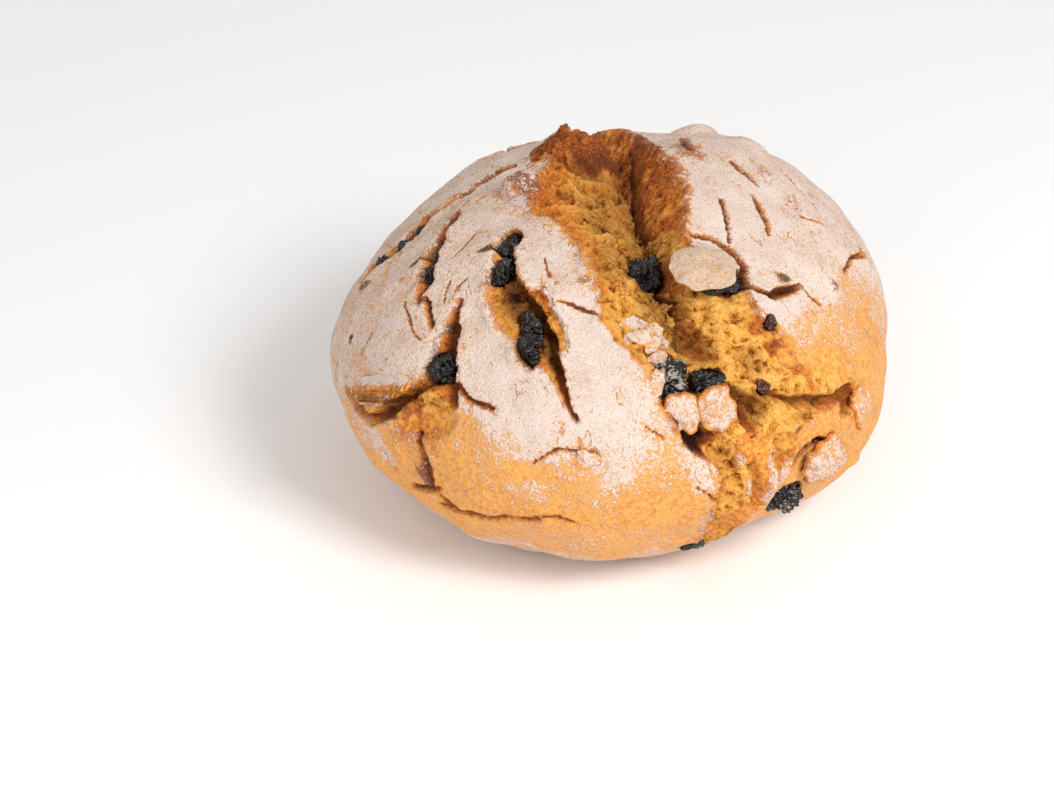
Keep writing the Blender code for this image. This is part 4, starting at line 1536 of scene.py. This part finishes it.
class Relief:
    """Geometry nodes that push a surface in and out along its normal."""

    @staticmethod
    def start(name: str, sizes: dict[str, float]) -> tuple[NodeTree, Node]:
        """Begin a tree with named sizes.

        Args:
            name: The tree's name.
            sizes: Name and default value of each input, in metres.

        Returns:
            The tree and its input node.
        """
        tree = bpy.data.node_groups.new(name, "GeometryNodeTree")
        tree.interface.new_socket("Geometry", in_out="INPUT", socket_type="NodeSocketGeometry")
        for label, value in sizes.items():
            socket = tree.interface.new_socket(label, in_out="INPUT", socket_type="NodeSocketFloat")
            socket.default_value = value
        tree.interface.new_socket("Geometry", in_out="OUTPUT", socket_type="NodeSocketGeometry")
        return tree, add_node(tree, "NodeGroupInput")

    @staticmethod
    def end(tree: NodeTree, geometry: NodeSocket, material: Material) -> None:
        """Make the geometry plain mesh with one material, and put it out.

        Args:
            tree: The tree that ends.
            geometry: The socket of its geometry.
            material: The material.
        """
        plain = add_node(tree, "GeometryNodeRealizeInstances", {"Geometry": geometry}).outputs["Geometry"]
        dressed = add_node(tree, "GeometryNodeSetMaterial", {
            "Geometry": plain, "Material": material,
        }).outputs["Geometry"]
        add_node(tree, "NodeGroupOutput", {"Geometry": dressed})

    @staticmethod
    def push(tree: NodeTree, geometry: NodeSocket, rise: NodeSocket) -> NodeSocket:
        """Move the points along their normals.

        Args:
            tree: The tree.
            geometry: The socket of the geometry.
            rise: The socket of the height in metres.

        Returns:
            The socket of the moved geometry.
        """
        normal = add_node(tree, "GeometryNodeInputNormal").outputs["Normal"]
        offset = add_node(
            tree, "ShaderNodeVectorMath", {0: normal, "Scale": rise}, operation="SCALE"
        ).outputs["Vector"]
        return add_node(tree, "GeometryNodeSetPosition", {
            "Geometry": geometry, "Offset": offset,
        }).outputs["Geometry"]

    @classmethod
    def skin(cls, material: Material) -> NodeTree:
        """Faint wrinkles and dimples of the baked skin.

        Args:
            material: The skin's material.

        Returns:
            The tree, with the inputs Wrinkle Size and Wrinkle Height.
        """
        tree, entry = cls.start("skin_relief", {"Wrinkle Size": 4.5 * MM, "Wrinkle Height": 0.7 * MM})
        lifted = add_node(tree, "GeometryNodeInputNamedAttribute", {
            "Name": Mask.LIFTED.value,
        }, data_type="FLOAT").outputs["Attribute"]
        scale = add_node(tree, "ShaderNodeMath", {
            0: 1.0, 1: entry.outputs["Wrinkle Size"],
        }, operation="DIVIDE").outputs[0]
        noise = add_node(tree, "ShaderNodeTexNoise", {
            "Scale": scale, "Detail": 5.0, "Roughness": 0.6, "Distortion": 0.6,
        }).outputs["Fac"]
        rise = add_node(tree, "ShaderNodeMath", {0: noise, 1: 0.5}, operation="SUBTRACT").outputs[0]
        for factor in (entry.outputs["Wrinkle Height"], lifted):
            rise = add_node(tree, "ShaderNodeMath", {0: rise, 1: factor}, operation="MULTIPLY").outputs[0]
        cls.end(tree, cls.push(tree, entry.outputs["Geometry"], rise), material)
        return tree

    @classmethod
    def crumb(cls, material: Material) -> NodeTree:
        """Pores of two sizes and a torn grain between them.

        Args:
            material: The crumb's material.

        Returns:
            The tree, with a size and a depth or height for the bubbles, the pores and the grain.
        """
        tree, entry = cls.start("crumb_relief", {
            "Bubble Size": 7.5 * MM, "Bubble Depth": 3.4 * MM,
            "Pore Size": 2.8 * MM, "Pore Depth": 2.2 * MM,
            "Grain Size": 4.0 * MM, "Grain Height": 5.5 * MM,
        })
        bubble_scale, pore_scale, grain_scale = (
            add_node(
                tree, "ShaderNodeMath", {0: 1.0, 1: entry.outputs[label]}, operation="DIVIDE"
            ).outputs[0]
            for label in ("Bubble Size", "Pore Size", "Grain Size")
        )
        crumb = add_node(tree, "GeometryNodeInputNamedAttribute", {
            "Name": Mask.CRUMB.value,
        }, data_type="FLOAT").outputs["Attribute"]
        whole = add_node(tree, "ShaderNodeMapRange", {
            "Value": crumb, "From Min": 0.45, "From Max": 0.85,
        }).outputs["Result"]
        # The pores and the grain are bent, so that no cell is round
        position = add_node(tree, "GeometryNodeInputPosition").outputs["Position"]
        bend = add_node(tree, "ShaderNodeTexNoise", {
            "Vector": position, "Scale": 1.0 / (5.0 * MM), "Detail": 2.0,
        }).outputs["Color"]
        warped = add_node(tree, "ShaderNodeVectorMath", {
            0: bend, 1: (3.0 * MM, 3.0 * MM, 3.0 * MM), 2: position,
        }, operation="MULTIPLY_ADD").outputs["Vector"]
        hollows = []
        for scale, share, edge in ((bubble_scale, 0.6, 0.55), (pore_scale, 0.3, 0.6)):
            cells = add_node(tree, "ShaderNodeTexVoronoi", {"Vector": warped, "Scale": scale})
            bowl = add_node(tree, "ShaderNodeMapRange", {
                "Value": cells.outputs["Distance"], "From Max": edge, "To Min": 1.0, "To Max": 0.0,
            }, interpolation_type="SMOOTHSTEP").outputs["Result"]
            chance = add_node(tree, "ShaderNodeSeparateXYZ", {0: cells.outputs["Color"]}).outputs["X"]
            picked = add_node(tree, "ShaderNodeMapRange", {
                "Value": chance, "From Min": share, "From Max": share + 0.25,
            }).outputs["Result"]
            hollows.append(add_node(
                tree, "ShaderNodeMath", {0: bowl, 1: picked}, operation="MULTIPLY"
            ).outputs[0])
        grain = add_node(tree, "ShaderNodeTexNoise", {
            "Vector": warped, "Scale": grain_scale, "Detail": 7.0, "Roughness": 0.72,
        }).outputs["Fac"]
        grain = add_node(tree, "ShaderNodeMath", {0: grain, 1: 0.5}, operation="SUBTRACT").outputs[0]
        rise = add_node(tree, "ShaderNodeMath", {
            0: grain, 1: entry.outputs["Grain Height"],
        }, operation="MULTIPLY").outputs[0]
        for hollow, label in zip(hollows, ("Bubble Depth", "Pore Depth")):
            deep = add_node(tree, "ShaderNodeMath", {
                0: hollow, 1: entry.outputs[label],
            }, operation="MULTIPLY").outputs[0]
            rise = add_node(tree, "ShaderNodeMath", {0: rise, 1: deep}, operation="SUBTRACT").outputs[0]
        rise = add_node(tree, "ShaderNodeMath", {0: rise, 1: whole}, operation="MULTIPLY").outputs[0]
        # Low grain and pores are kept as a mask of painted shade, which the finish darkens
        cavity = add_node(tree, "ShaderNodeMath", {
            0: hollows[0], 1: hollows[1],
        }, operation="MAXIMUM").outputs[0]
        cavity = add_node(
            tree, "ShaderNodeMath", {0: grain, 1: -2.4, 2: cavity}, operation="MULTIPLY_ADD"
        ).outputs[0]
        kept = add_node(tree, "GeometryNodeStoreNamedAttribute", {
            "Geometry": entry.outputs["Geometry"], "Name": Mask.PORE_SHADE.value, "Value": cavity,
        }, data_type="FLOAT", domain="POINT").outputs["Geometry"]
        cls.end(tree, cls.push(tree, kept, rise), material)
        return tree

    @classmethod
    def scatter(cls, mask: Mask, seed: int, material: Material) -> NodeTree:
        """Loose grains strewn over a surface.

        Args:
            mask: The attribute that says how thickly they lie.
            seed: Seed of their places and turns.
            material: Their material.

        Returns:
            The tree, with the inputs Density per square metre and Grain Size.
        """
        tree, entry = cls.start("strewn_grains", {"Density": 1.0e5, "Grain Size": 0.5 * MM})
        density, lifted = (
            add_node(tree, "GeometryNodeInputNamedAttribute", {
                "Name": name.value,
            }, data_type="FLOAT").outputs["Attribute"]
            for name in (mask, Mask.LIFTED)
        )
        for factor in (lifted, entry.outputs["Density"]):
            density = add_node(
                tree, "ShaderNodeMath", {0: density, 1: factor}, operation="MULTIPLY"
            ).outputs[0]
        points = add_node(tree, "GeometryNodeDistributePointsOnFaces", {
            "Mesh": entry.outputs["Geometry"], "Density": density, "Seed": seed,
        }, distribute_method="RANDOM").outputs["Points"]
        grain = add_node(tree, "GeometryNodeMeshUVSphere", {
            "Segments": 4, "Rings": 3, "Radius": entry.outputs["Grain Size"],
        }).outputs["Mesh"]
        turn, size = (
            add_node(tree, "FunctionNodeRandomValue", {
                0: least, 1: most, "Seed": draw,
            }, data_type="FLOAT_VECTOR").outputs[0]
            for least, most, draw in (
                ((0.0, 0.0, 0.0), (6.28, 6.28, 6.28), seed + 1),
                ((0.35, 0.35, 0.25), (1.0, 1.0, 0.7), seed + 2),
            )
        )
        strewn = add_node(tree, "GeometryNodeInstanceOnPoints", {
            "Points": points, "Instance": grain, "Rotation": turn, "Scale": size,
        }).outputs["Instances"]
        cls.end(tree, strewn, material)
        return tree


# ---------------------------------------------------------------- pieces


@dataclass
class Crust:
    """The loaf's crust, with the ground of its tear and cracks."""

    form: LoafForm
    material: Material
    ball_level: int = 8
    quick_level: int = 7
    triangles: int = 190_000
    crumb_bed: float = 4.5  # how far the ground lies under open crumb, in millimetres

    def build(self) -> Object:
        """Make the surface, thin it out and dress it.

        Returns:
            The finished piece.
        """
        mesh, dirs = ball_mesh("loaf_surface", self.ball_level)
        radius, masks = self.form.surface(dirs)
        radius -= self.crumb_bed * smooth(0.35, 0.9, masks[Mask.CRUMB])
        heart = np.array(self.form.heart)
        place_points(mesh, (dirs * radius[:, None] + heart) * MM)
        write_masks(mesh, masks)
        # Creases keep all their points, and masks are worked out anew for the points that are left
        kept = (masks[Mask.CREASED] > 0.5) & (masks[Mask.CRUMB] < 0.4)
        finished = apply_tree(mesh, Relief.skin(self.material), self.triangles, kept)
        places = points_of(finished)
        place_points(finished, places)
        seen = places - heart * MM
        _, masks = self.form.surface(seen / np.linalg.norm(seen, axis=1)[:, None])
        write_masks(finished, masks)
        finished.shade_smooth()
        return add_piece("loaf_crust", finished, "loaf")


@dataclass
class TornCrumb:
    """The open crumb in the tear and the wide cracks, laid over the crust's ground."""

    form: LoafForm
    material: Material
    ball_level: int = 7
    splits: int = 1
    triangles: int = 190_000
    bury: float = 2.6  # how far its edge dips into the crust, in millimetres

    def build(self) -> Object:
        """Make the crumb where the form's crumb mask shows.

        Returns:
            The finished piece.
        """
        ball, dirs = ball_mesh("crumb_ball", self.ball_level)
        _, masks = self.form.surface(dirs)
        faces = np.empty(len(ball.polygons) * 3, dtype=np.int64)
        ball.polygons.foreach_get("vertices", faces)
        faces = faces.reshape(-1, 3)
        faces = faces[(masks[Mask.CRUMB][faces] > 0.06).any(axis=1)]
        for _ in range(self.splits):
            dirs, faces = self.split(dirs, faces)
        used, faces = np.unique(faces, return_inverse=True)
        dirs, faces = dirs[used], faces.reshape(-1, 3)
        radius, masks = self.form.surface(dirs)
        radius -= self.bury * (1.0 - smooth(0.08, 0.5, masks[Mask.CRUMB]))
        mesh = bpy.data.meshes.new("crumb_surface")
        mesh.from_pydata(np.zeros_like(dirs).tolist(), [], faces.tolist())
        place_points(mesh, (dirs * radius[:, None] + np.array(self.form.heart)) * MM)
        write_masks(mesh, masks)
        finished = apply_tree(mesh, Relief.crumb(self.material), self.triangles)
        place_points(finished, points_of(finished))
        finished.shade_smooth()
        return add_piece("loaf_crumb", finished, None)

    @staticmethod
    def split(dirs: np.ndarray, faces: np.ndarray) -> tuple[np.ndarray, np.ndarray]:
        """Split each triangle into four.

        Args:
            dirs: Unit directions, one a row.
            faces: Three point numbers a row.

        Returns:
            The new directions and faces.
        """
        edges = np.sort(np.concatenate((faces[:, (0, 1)], faces[:, (1, 2)], faces[:, (2, 0)])), axis=1)
        edges, which = np.unique(edges, axis=0, return_inverse=True)
        middles = dirs[edges[:, 0]] + dirs[edges[:, 1]]
        middles /= np.linalg.norm(middles, axis=1)[:, None]
        first, second, third = which.reshape(3, -1) + len(dirs)
        a, b, c = faces.T
        corners = ((a, first, third), (first, b, second), (third, second, c), (first, second, third))
        parts = [np.stack(corner, axis=1) for corner in corners]
        return np.concatenate((dirs, middles)), np.concatenate(parts)


@dataclass(frozen=True)
class FlapPlan(Oval):
    """One lifted flap of crust: its shape in millimetres, and its looks."""

    lift: float
    thick: float
    dome: float
    flour: float = 0.9
    toast: float = 0.3
    ragged: float = 0.12
    tilt: float = 0.0
    square: float = 2.0
    bare_rim: float = 0.1
    rough: float = 0.6
    comb: float = 0.0
    root: float = 3.0
    beige: bool = False


@dataclass
class Flaps:
    """Flaps, knobs and flakes of crust on the lips and lumps along the tear and the cracks."""

    form: LoafForm
    material: Material
    beige_material: Material
    ball_level: int = 5
    small_level: int = 4
    strand_mm: float = 2.1
    plans: dict[str, FlapPlan] = field(default_factory=lambda: {
        "cap_flap": FlapPlan((34.4, 47.3), 12.6, 9.2, -8, -0.8, 1.5, 3.4, flour=0.8, toast=0.75, ragged=0.1,
                             square=2.4, bare_rim=0.0, rough=0.35, root=7.0, beige=True),
        "knob_left": FlapPlan((14.8, 16.2), 6.2, 7.2, -14, -0.8, 2.8, 0.8, flour=0.66, toast=0.42,
                              ragged=0.12, tilt=1.8, square=3.2, bare_rim=0.2, rough=0.9),
        "knob_right": FlapPlan((23.4, 15.4), 7.0, 7.8, 16, -0.6, 3.0, 1.0, flour=0.6, toast=0.42,
                               ragged=0.13, tilt=2.0, square=3.2, bare_rim=0.24, rough=1.0),
        "left_lip_flap": FlapPlan((-54.8, 10.2), 15.5, 5.2, 27, 0.8, 1.6, 1.2, flour=0.92, toast=0.3,
                                  ragged=0.07, tilt=-2.6, square=2.6, bare_rim=0.2, rough=0.4, comb=1.4),
        "side_lump": FlapPlan((46.0, -2.6), 9.6, 8.6, 25, -2.6, 2.4, 4.6, flour=0.56, toast=0.4,
                              ragged=0.15, square=3.6, bare_rim=0.12, rough=1.3),
        "blister_scrap": FlapPlan((-5.0, 8.8), 4.4, 2.8, -24, -0.5, 1.2, 0.9, flour=0.66, toast=0.5,
                                  ragged=0.12, tilt=0.5, square=2.4, bare_rim=0.15),
        "scrap_high": FlapPlan((11.2, 27.6), 4.6, 2.6, 28, 1.6, 0.9, 0.4, flour=0.62, toast=0.6,
                               ragged=0.12),
        "scrap_low": FlapPlan((10.0, 23.4), 2.6, 4.4, -10, 1.2, 0.9, 0.4, flour=0.6, toast=0.6,
                              ragged=0.14),
        "side_flap": FlapPlan((60.0, 2.5), 4.6, 9.0, 12, 0.2, 1.8, 1.0, flour=0.52, toast=0.35, ragged=0.1,
                              square=2.6, bare_rim=0.15),
        "flake_1": FlapPlan((5.5, 37.0), 3.4, 2.6, 20, 0.5, 0.9, 0.3, flour=0.74, ragged=0.16, square=2.6),
        "flake_2": FlapPlan((9.4, 36.0), 2.8, 2.2, -30, 0.9, 0.8, 0.2, flour=0.74, ragged=0.16, tilt=0.5),
        "flake_3": FlapPlan((12.8, 34.4), 3.0, 2.8, 50, 0.5, 0.9, 0.3, flour=0.7, ragged=0.16, square=2.6),
        "flake_4": FlapPlan((7.6, 33.4), 3.8, 2.8, -15, 0.5, 0.9, 0.3, flour=0.74, ragged=0.16, tilt=0.4),
        "flake_5": FlapPlan((11.2, 31.4), 3.2, 2.4, 35, 0.8, 0.9, 0.3, flour=0.7, ragged=0.16, tilt=-0.4),
        "flake_6": FlapPlan((15.4, 31.6), 2.6, 2.0, -50, 1.0, 0.8, 0.3, flour=0.66, ragged=0.16,
                            square=2.6),
        "flake_7": FlapPlan((4.4, 33.2), 2.4, 1.8, 70, 0.6, 0.8, 0.2, flour=0.74, ragged=0.16),
        "flake_8": FlapPlan((10.4, 34.2), 2.0, 1.5, 10, 1.1, 0.7, 0.2, flour=0.7, ragged=0.16, tilt=0.5),
    })

    def build(self) -> list[Object]:
        """Make every flap."""
        return [self.one(name, plan) for name, plan in self.plans.items()]

    def one(self, name: str, plan: FlapPlan) -> Object:
        """Bend a thin, ragged-edged lens of dough over the loaf.

        Args:
            name: The flap's name.
            plan: Its place, sizes and looks.

        Returns:
            The finished piece.
        """
        mesh, unit = ball_mesh(name, self.ball_level if plan.along > 4.0 else self.small_level)
        rng = np.random.default_rng(int(plan.place[0] * 3 + plan.place[1] * 7) % 1000)
        outward = direction(plan.place)
        right, up = tangents(outward)
        angle = math.radians(plan.turn)
        across_axis = up * math.cos(angle) - right * math.sin(angle)
        along_axis = right * math.cos(angle) + up * math.sin(angle)
        flat = np.linalg.norm(unit[:, :2], axis=1)
        ring = np.stack((unit[:, 0], unit[:, 1], np.zeros(len(unit))), axis=1)
        ring /= np.maximum(flat, 1e-6)[:, None]
        edge = 1.0 + plan.ragged * (waves(ring * 6.0, 9.0, rng) + 0.6 * waves(ring * 6.0, 3.5, rng))
        corner = np.abs(ring[:, 0]) ** plan.square + np.abs(ring[:, 1]) ** plan.square
        corner = corner ** (1.0 / plan.square)
        edge = edge / np.maximum(corner, 1e-6)
        spread = flat**0.55 * edge
        x = ring[:, 0] * spread * plan.along
        y = ring[:, 1] * spread * plan.across
        level = self.form.plain_radius(plan.place)
        inside = np.clip(1.0 - (spread / edge) ** 2, 0.0, 1.0)
        rise = plan.lift + plan.dome * inside + plan.tilt * y / plan.across
        rise += 0.5 * plan.thick * np.sign(unit[:, 2]) * np.abs(unit[:, 2]) ** 0.5
        rise -= np.where(unit[:, 2] < 0.0, plan.root * inside**0.8, 0.0)
        base_places = outward * level + x[:, None] * along_axis + y[:, None] * across_axis
        dirs = base_places / np.linalg.norm(base_places, axis=1)[:, None]
        ball = self.form.ball(dirs)
        middle_ball = self.form.ball(outward[None, :])[0]
        rise += plan.rough * (waves(base_places, 7.0, rng) + 0.55 * waves(base_places, 3.0, rng))
        # Strands of dough drawn out across a torn edge
        strands = np.sin(2.0 * math.pi * x / self.strand_mm + 2.2 * waves(base_places, 9.0, rng))
        rise += 0.9 * plan.comb * strands * (1.0 - smooth(-0.2, 0.45, y / plan.across))
        radius = ball - middle_ball + level + rise
        place_points(mesh, (dirs * radius[:, None] + np.array(self.form.heart)) * MM)
        top = smooth(-0.3, 0.3, unit[:, 2]) * (1.0 - smooth(1.0 - plan.bare_rim, 1.04, spread / edge))
        frayed = min(1.0, plan.comb) * (0.8 - 0.2 * strands)
        top *= 1.0 - frayed * (1.0 - smooth(-0.2, 0.4, y / plan.across))
        write_masks(mesh, {
            Mask.FLOUR: plan.flour * top,
            Mask.TOAST: plan.toast * (1.0 - 0.75 * top) + 0.25 * smooth(0.0, -0.5, unit[:, 2]),
            # Painted shade on the flap's underside
            Mask.PAINTED_SHADE: 0.7 * smooth(-0.1, -0.6, unit[:, 2]),
            Mask.FRUIT: np.zeros(len(unit)),
        })
        mesh.materials.append(self.beige_material if plan.beige else self.material)
        mesh.shade_smooth()
        return add_piece(name, mesh, None)


@dataclass
class Raisins:
    """The raisins that show, each in its own pocket."""

    form: LoafForm
    finish: DriedRaisinFinish
    ball_level: int = 5
    # Wavelengths of a raisin's folds, creases and bulges, and how far each moves its skin
    fold_mm: float = 7.0
    crease_mm: float = 3.2
    bulge_mm: float = 9.0
    plump: float = 0.7
    fold_depth: float = 2.3
    crease_depth: float = 0.9
    bulge: float = 1.3

    def build(self) -> list[Object]:
        """Make every raisin."""
        return [self.one(name, fruit) for name, fruit in self.form.fruit.items()]

    def one(self, name: str, fruit: Fruit) -> Object:
        """Shrivel a ball into a raisin with deep folds.

        Args:
            name: The raisin's node.
            fruit: Its place and sizes.

        Returns:
            The finished piece.
        """
        across, along, outward = fruit.axes()
        middle = outward * (self.form.plain_radius(fruit.place) - fruit.sink)
        mesh, unit = ball_mesh(name + "_skin", self.ball_level)
        sizes = np.array(fruit.half_sizes)
        local = unit * sizes
        rng = np.random.default_rng(int(abs(fruit.place[0]) * 7 + abs(fruit.place[1]) * 5))
        bend = np.stack([waves(local, self.fold_mm, rng) for _ in range(3)], axis=1)
        folds = np.exp(-((2.0 * waves(local + bend * 2.4, self.fold_mm, rng)) ** 2))
        creases = np.exp(-((1.8 * waves(local + bend * 1.2, self.crease_mm, rng)) ** 2))
        shrink = self.plump - self.fold_depth * (1.0 - folds) - self.crease_depth * (1.0 - creases)
        shrink += self.bulge * waves(local, self.bulge_mm, rng)
        local += unit * (shrink * min(1.0, sizes.min() / 3.8))[:, None]
        places = middle + local[:, :1] * across + local[:, 1:2] * along + local[:, 2:] * outward
        place_points(mesh, (places + np.array(self.form.heart)) * MM)
        mesh.shade_smooth()
        mesh.materials.append(self.finish.material(name + "_skin", fruit.dust, fruit.red))
        return add_piece(name + "_skin", mesh, name)


@dataclass
class Grains:
    """Loose grains that lie on a finished surface, drawn as coarse as they need to show."""

    name: str
    material: Material
    mask: Mask
    per_square_cm: float
    size_mm: float
    seed: int

    def build(self, ground: Object) -> Object:
        """Strew the grains.

        Args:
            ground: The piece that they lie on.

        Returns:
            The finished piece.
        """
        tree = Relief.scatter(self.mask, self.seed, self.material)
        mesh = apply_tree(
            ground.data.copy(),
            tree,
            Density=self.per_square_cm * SQUARE_CM_IN_SQUARE_M,
            Grain_Size=self.size_mm * MM,
        )
        place_points(mesh, points_of(mesh))
        return add_piece(self.name, mesh, None)


@dataclass(frozen=True)
class Lamp:
    """A soft, square light: its place and side in metres, its power in watts and its colour."""

    name: str
    place: tuple[float, float, float]
    side: float
    power: float
    colour: str

    def hang(self, aim: Vector) -> None:
        """Put the lamp in the scene.

        Args:
            aim: The point that it shines at, in metres.
        """
        data = bpy.data.lights.new(self.name, "AREA")
        data.size = self.side
        data.energy = self.power
        data.color = linear(self.colour)[:3]
        lamp = bpy.data.objects.new(self.name, data)
        lamp.location = self.place
        lamp.rotation_euler = (aim - Vector(self.place)).to_track_quat("-Z", "Y").to_euler()
        bpy.context.scene.collection.objects.link(lamp)


@dataclass
class Studio:
    """Camera, lamps and floor: the camera's sizes in millimetres and degrees, the rest in metres."""

    elevation: float = 33.5
    distance: float = 1300.0
    aim_right: float = -30.0
    aim_up: float = -19.3
    heart_height: float = 56.0
    lens: float = 120.0
    sensor: float = 36.0
    floor_side: float = 6.0
    floor_colour: str = "#FFFFFF"
    room_colour: str = "#FFFFFF"
    room_strength: float = 0.6
    lit_height: float = 0.06
    lamps: tuple[Lamp, ...] = (
        Lamp("key", (0.55, -0.68, 0.88), 0.4, 9.5, "#FFFDFB"),
        Lamp("fill", (-0.5, -1.1, 0.6), 0.9, 3.2, "#FFFFFF"),
    )

    def camera(self) -> None:
        """Place the camera at the viewing angle."""
        angle = math.radians(self.elevation)
        rise, level = math.sin(angle), math.cos(angle)
        place = Vector((
            self.aim_right,
            rise * self.aim_up - level * self.distance,
            level * self.aim_up + rise * self.distance + self.heart_height,
        ))
        data = bpy.data.cameras.new("camera")
        data.lens = self.lens
        data.sensor_width = self.sensor
        camera = bpy.data.objects.new("camera", data)
        camera.location = place * MM
        camera.rotation_euler = (math.radians(90.0) - angle, 0.0, 0.0)
        bpy.context.scene.collection.objects.link(camera)
        bpy.context.scene.camera = camera

    def build(self) -> None:
        """Set the floor, the room's light, the lamps and the camera."""
        bpy.ops.mesh.primitive_plane_add(size=self.floor_side, location=(0.0, 0.0, 0.0))
        floor = bpy.context.object
        floor.name = "floor"
        floor.data.materials.append(PlainFinish("pale_floor", self.floor_colour).material())
        world = bpy.data.worlds.new("soft_room")
        world.use_nodes = True
        background = world.node_tree.nodes["Background"]
        background.inputs["Color"].default_value = linear(self.room_colour)
        background.inputs["Strength"].default_value = self.room_strength
        bpy.context.scene.world = world
        for lamp in self.lamps:
            lamp.hang(Vector((0.0, 0.0, self.lit_height)))
        self.camera()
        bpy.context.scene.view_settings.view_transform = "Standard"
        bpy.context.scene.view_settings.look = "None"


def main() -> None:
    """Build the bread and its studio, and log each piece."""
    logging.basicConfig(level=logging.INFO, format="%(message)s")
    form = LoafForm()
    crust = BakedCrustFinish().material()
    flour = PlainFinish("loose_flour", "#EBDCD0", 0.95).material()
    crumb = TornCrumbFinish().material()
    loaf = Crust(form, crust).build()
    tear = TornCrumb(form, crumb).build()
    Grains("flour_grains", flour, Mask.FLOUR, 20.0, 0.3, 5).build(loaf)
    Grains("crumb_grains", crumb, Mask.CRUMB, 9.0, 0.8, 11).build(tear)
    beige = BakedCrustFinish(
        "beige_crust", dry_skin="#8A6A4E", flour=((0.3, "#B59C86"), (0.5, "#CDB69F"), (0.7, "#DBC7B0"))
    ).material()
    Flaps(form, crust, beige).build()
    Raisins(form, DriedRaisinFinish()).build()
    Studio().build()


if __name__ == "__main__":
    main()
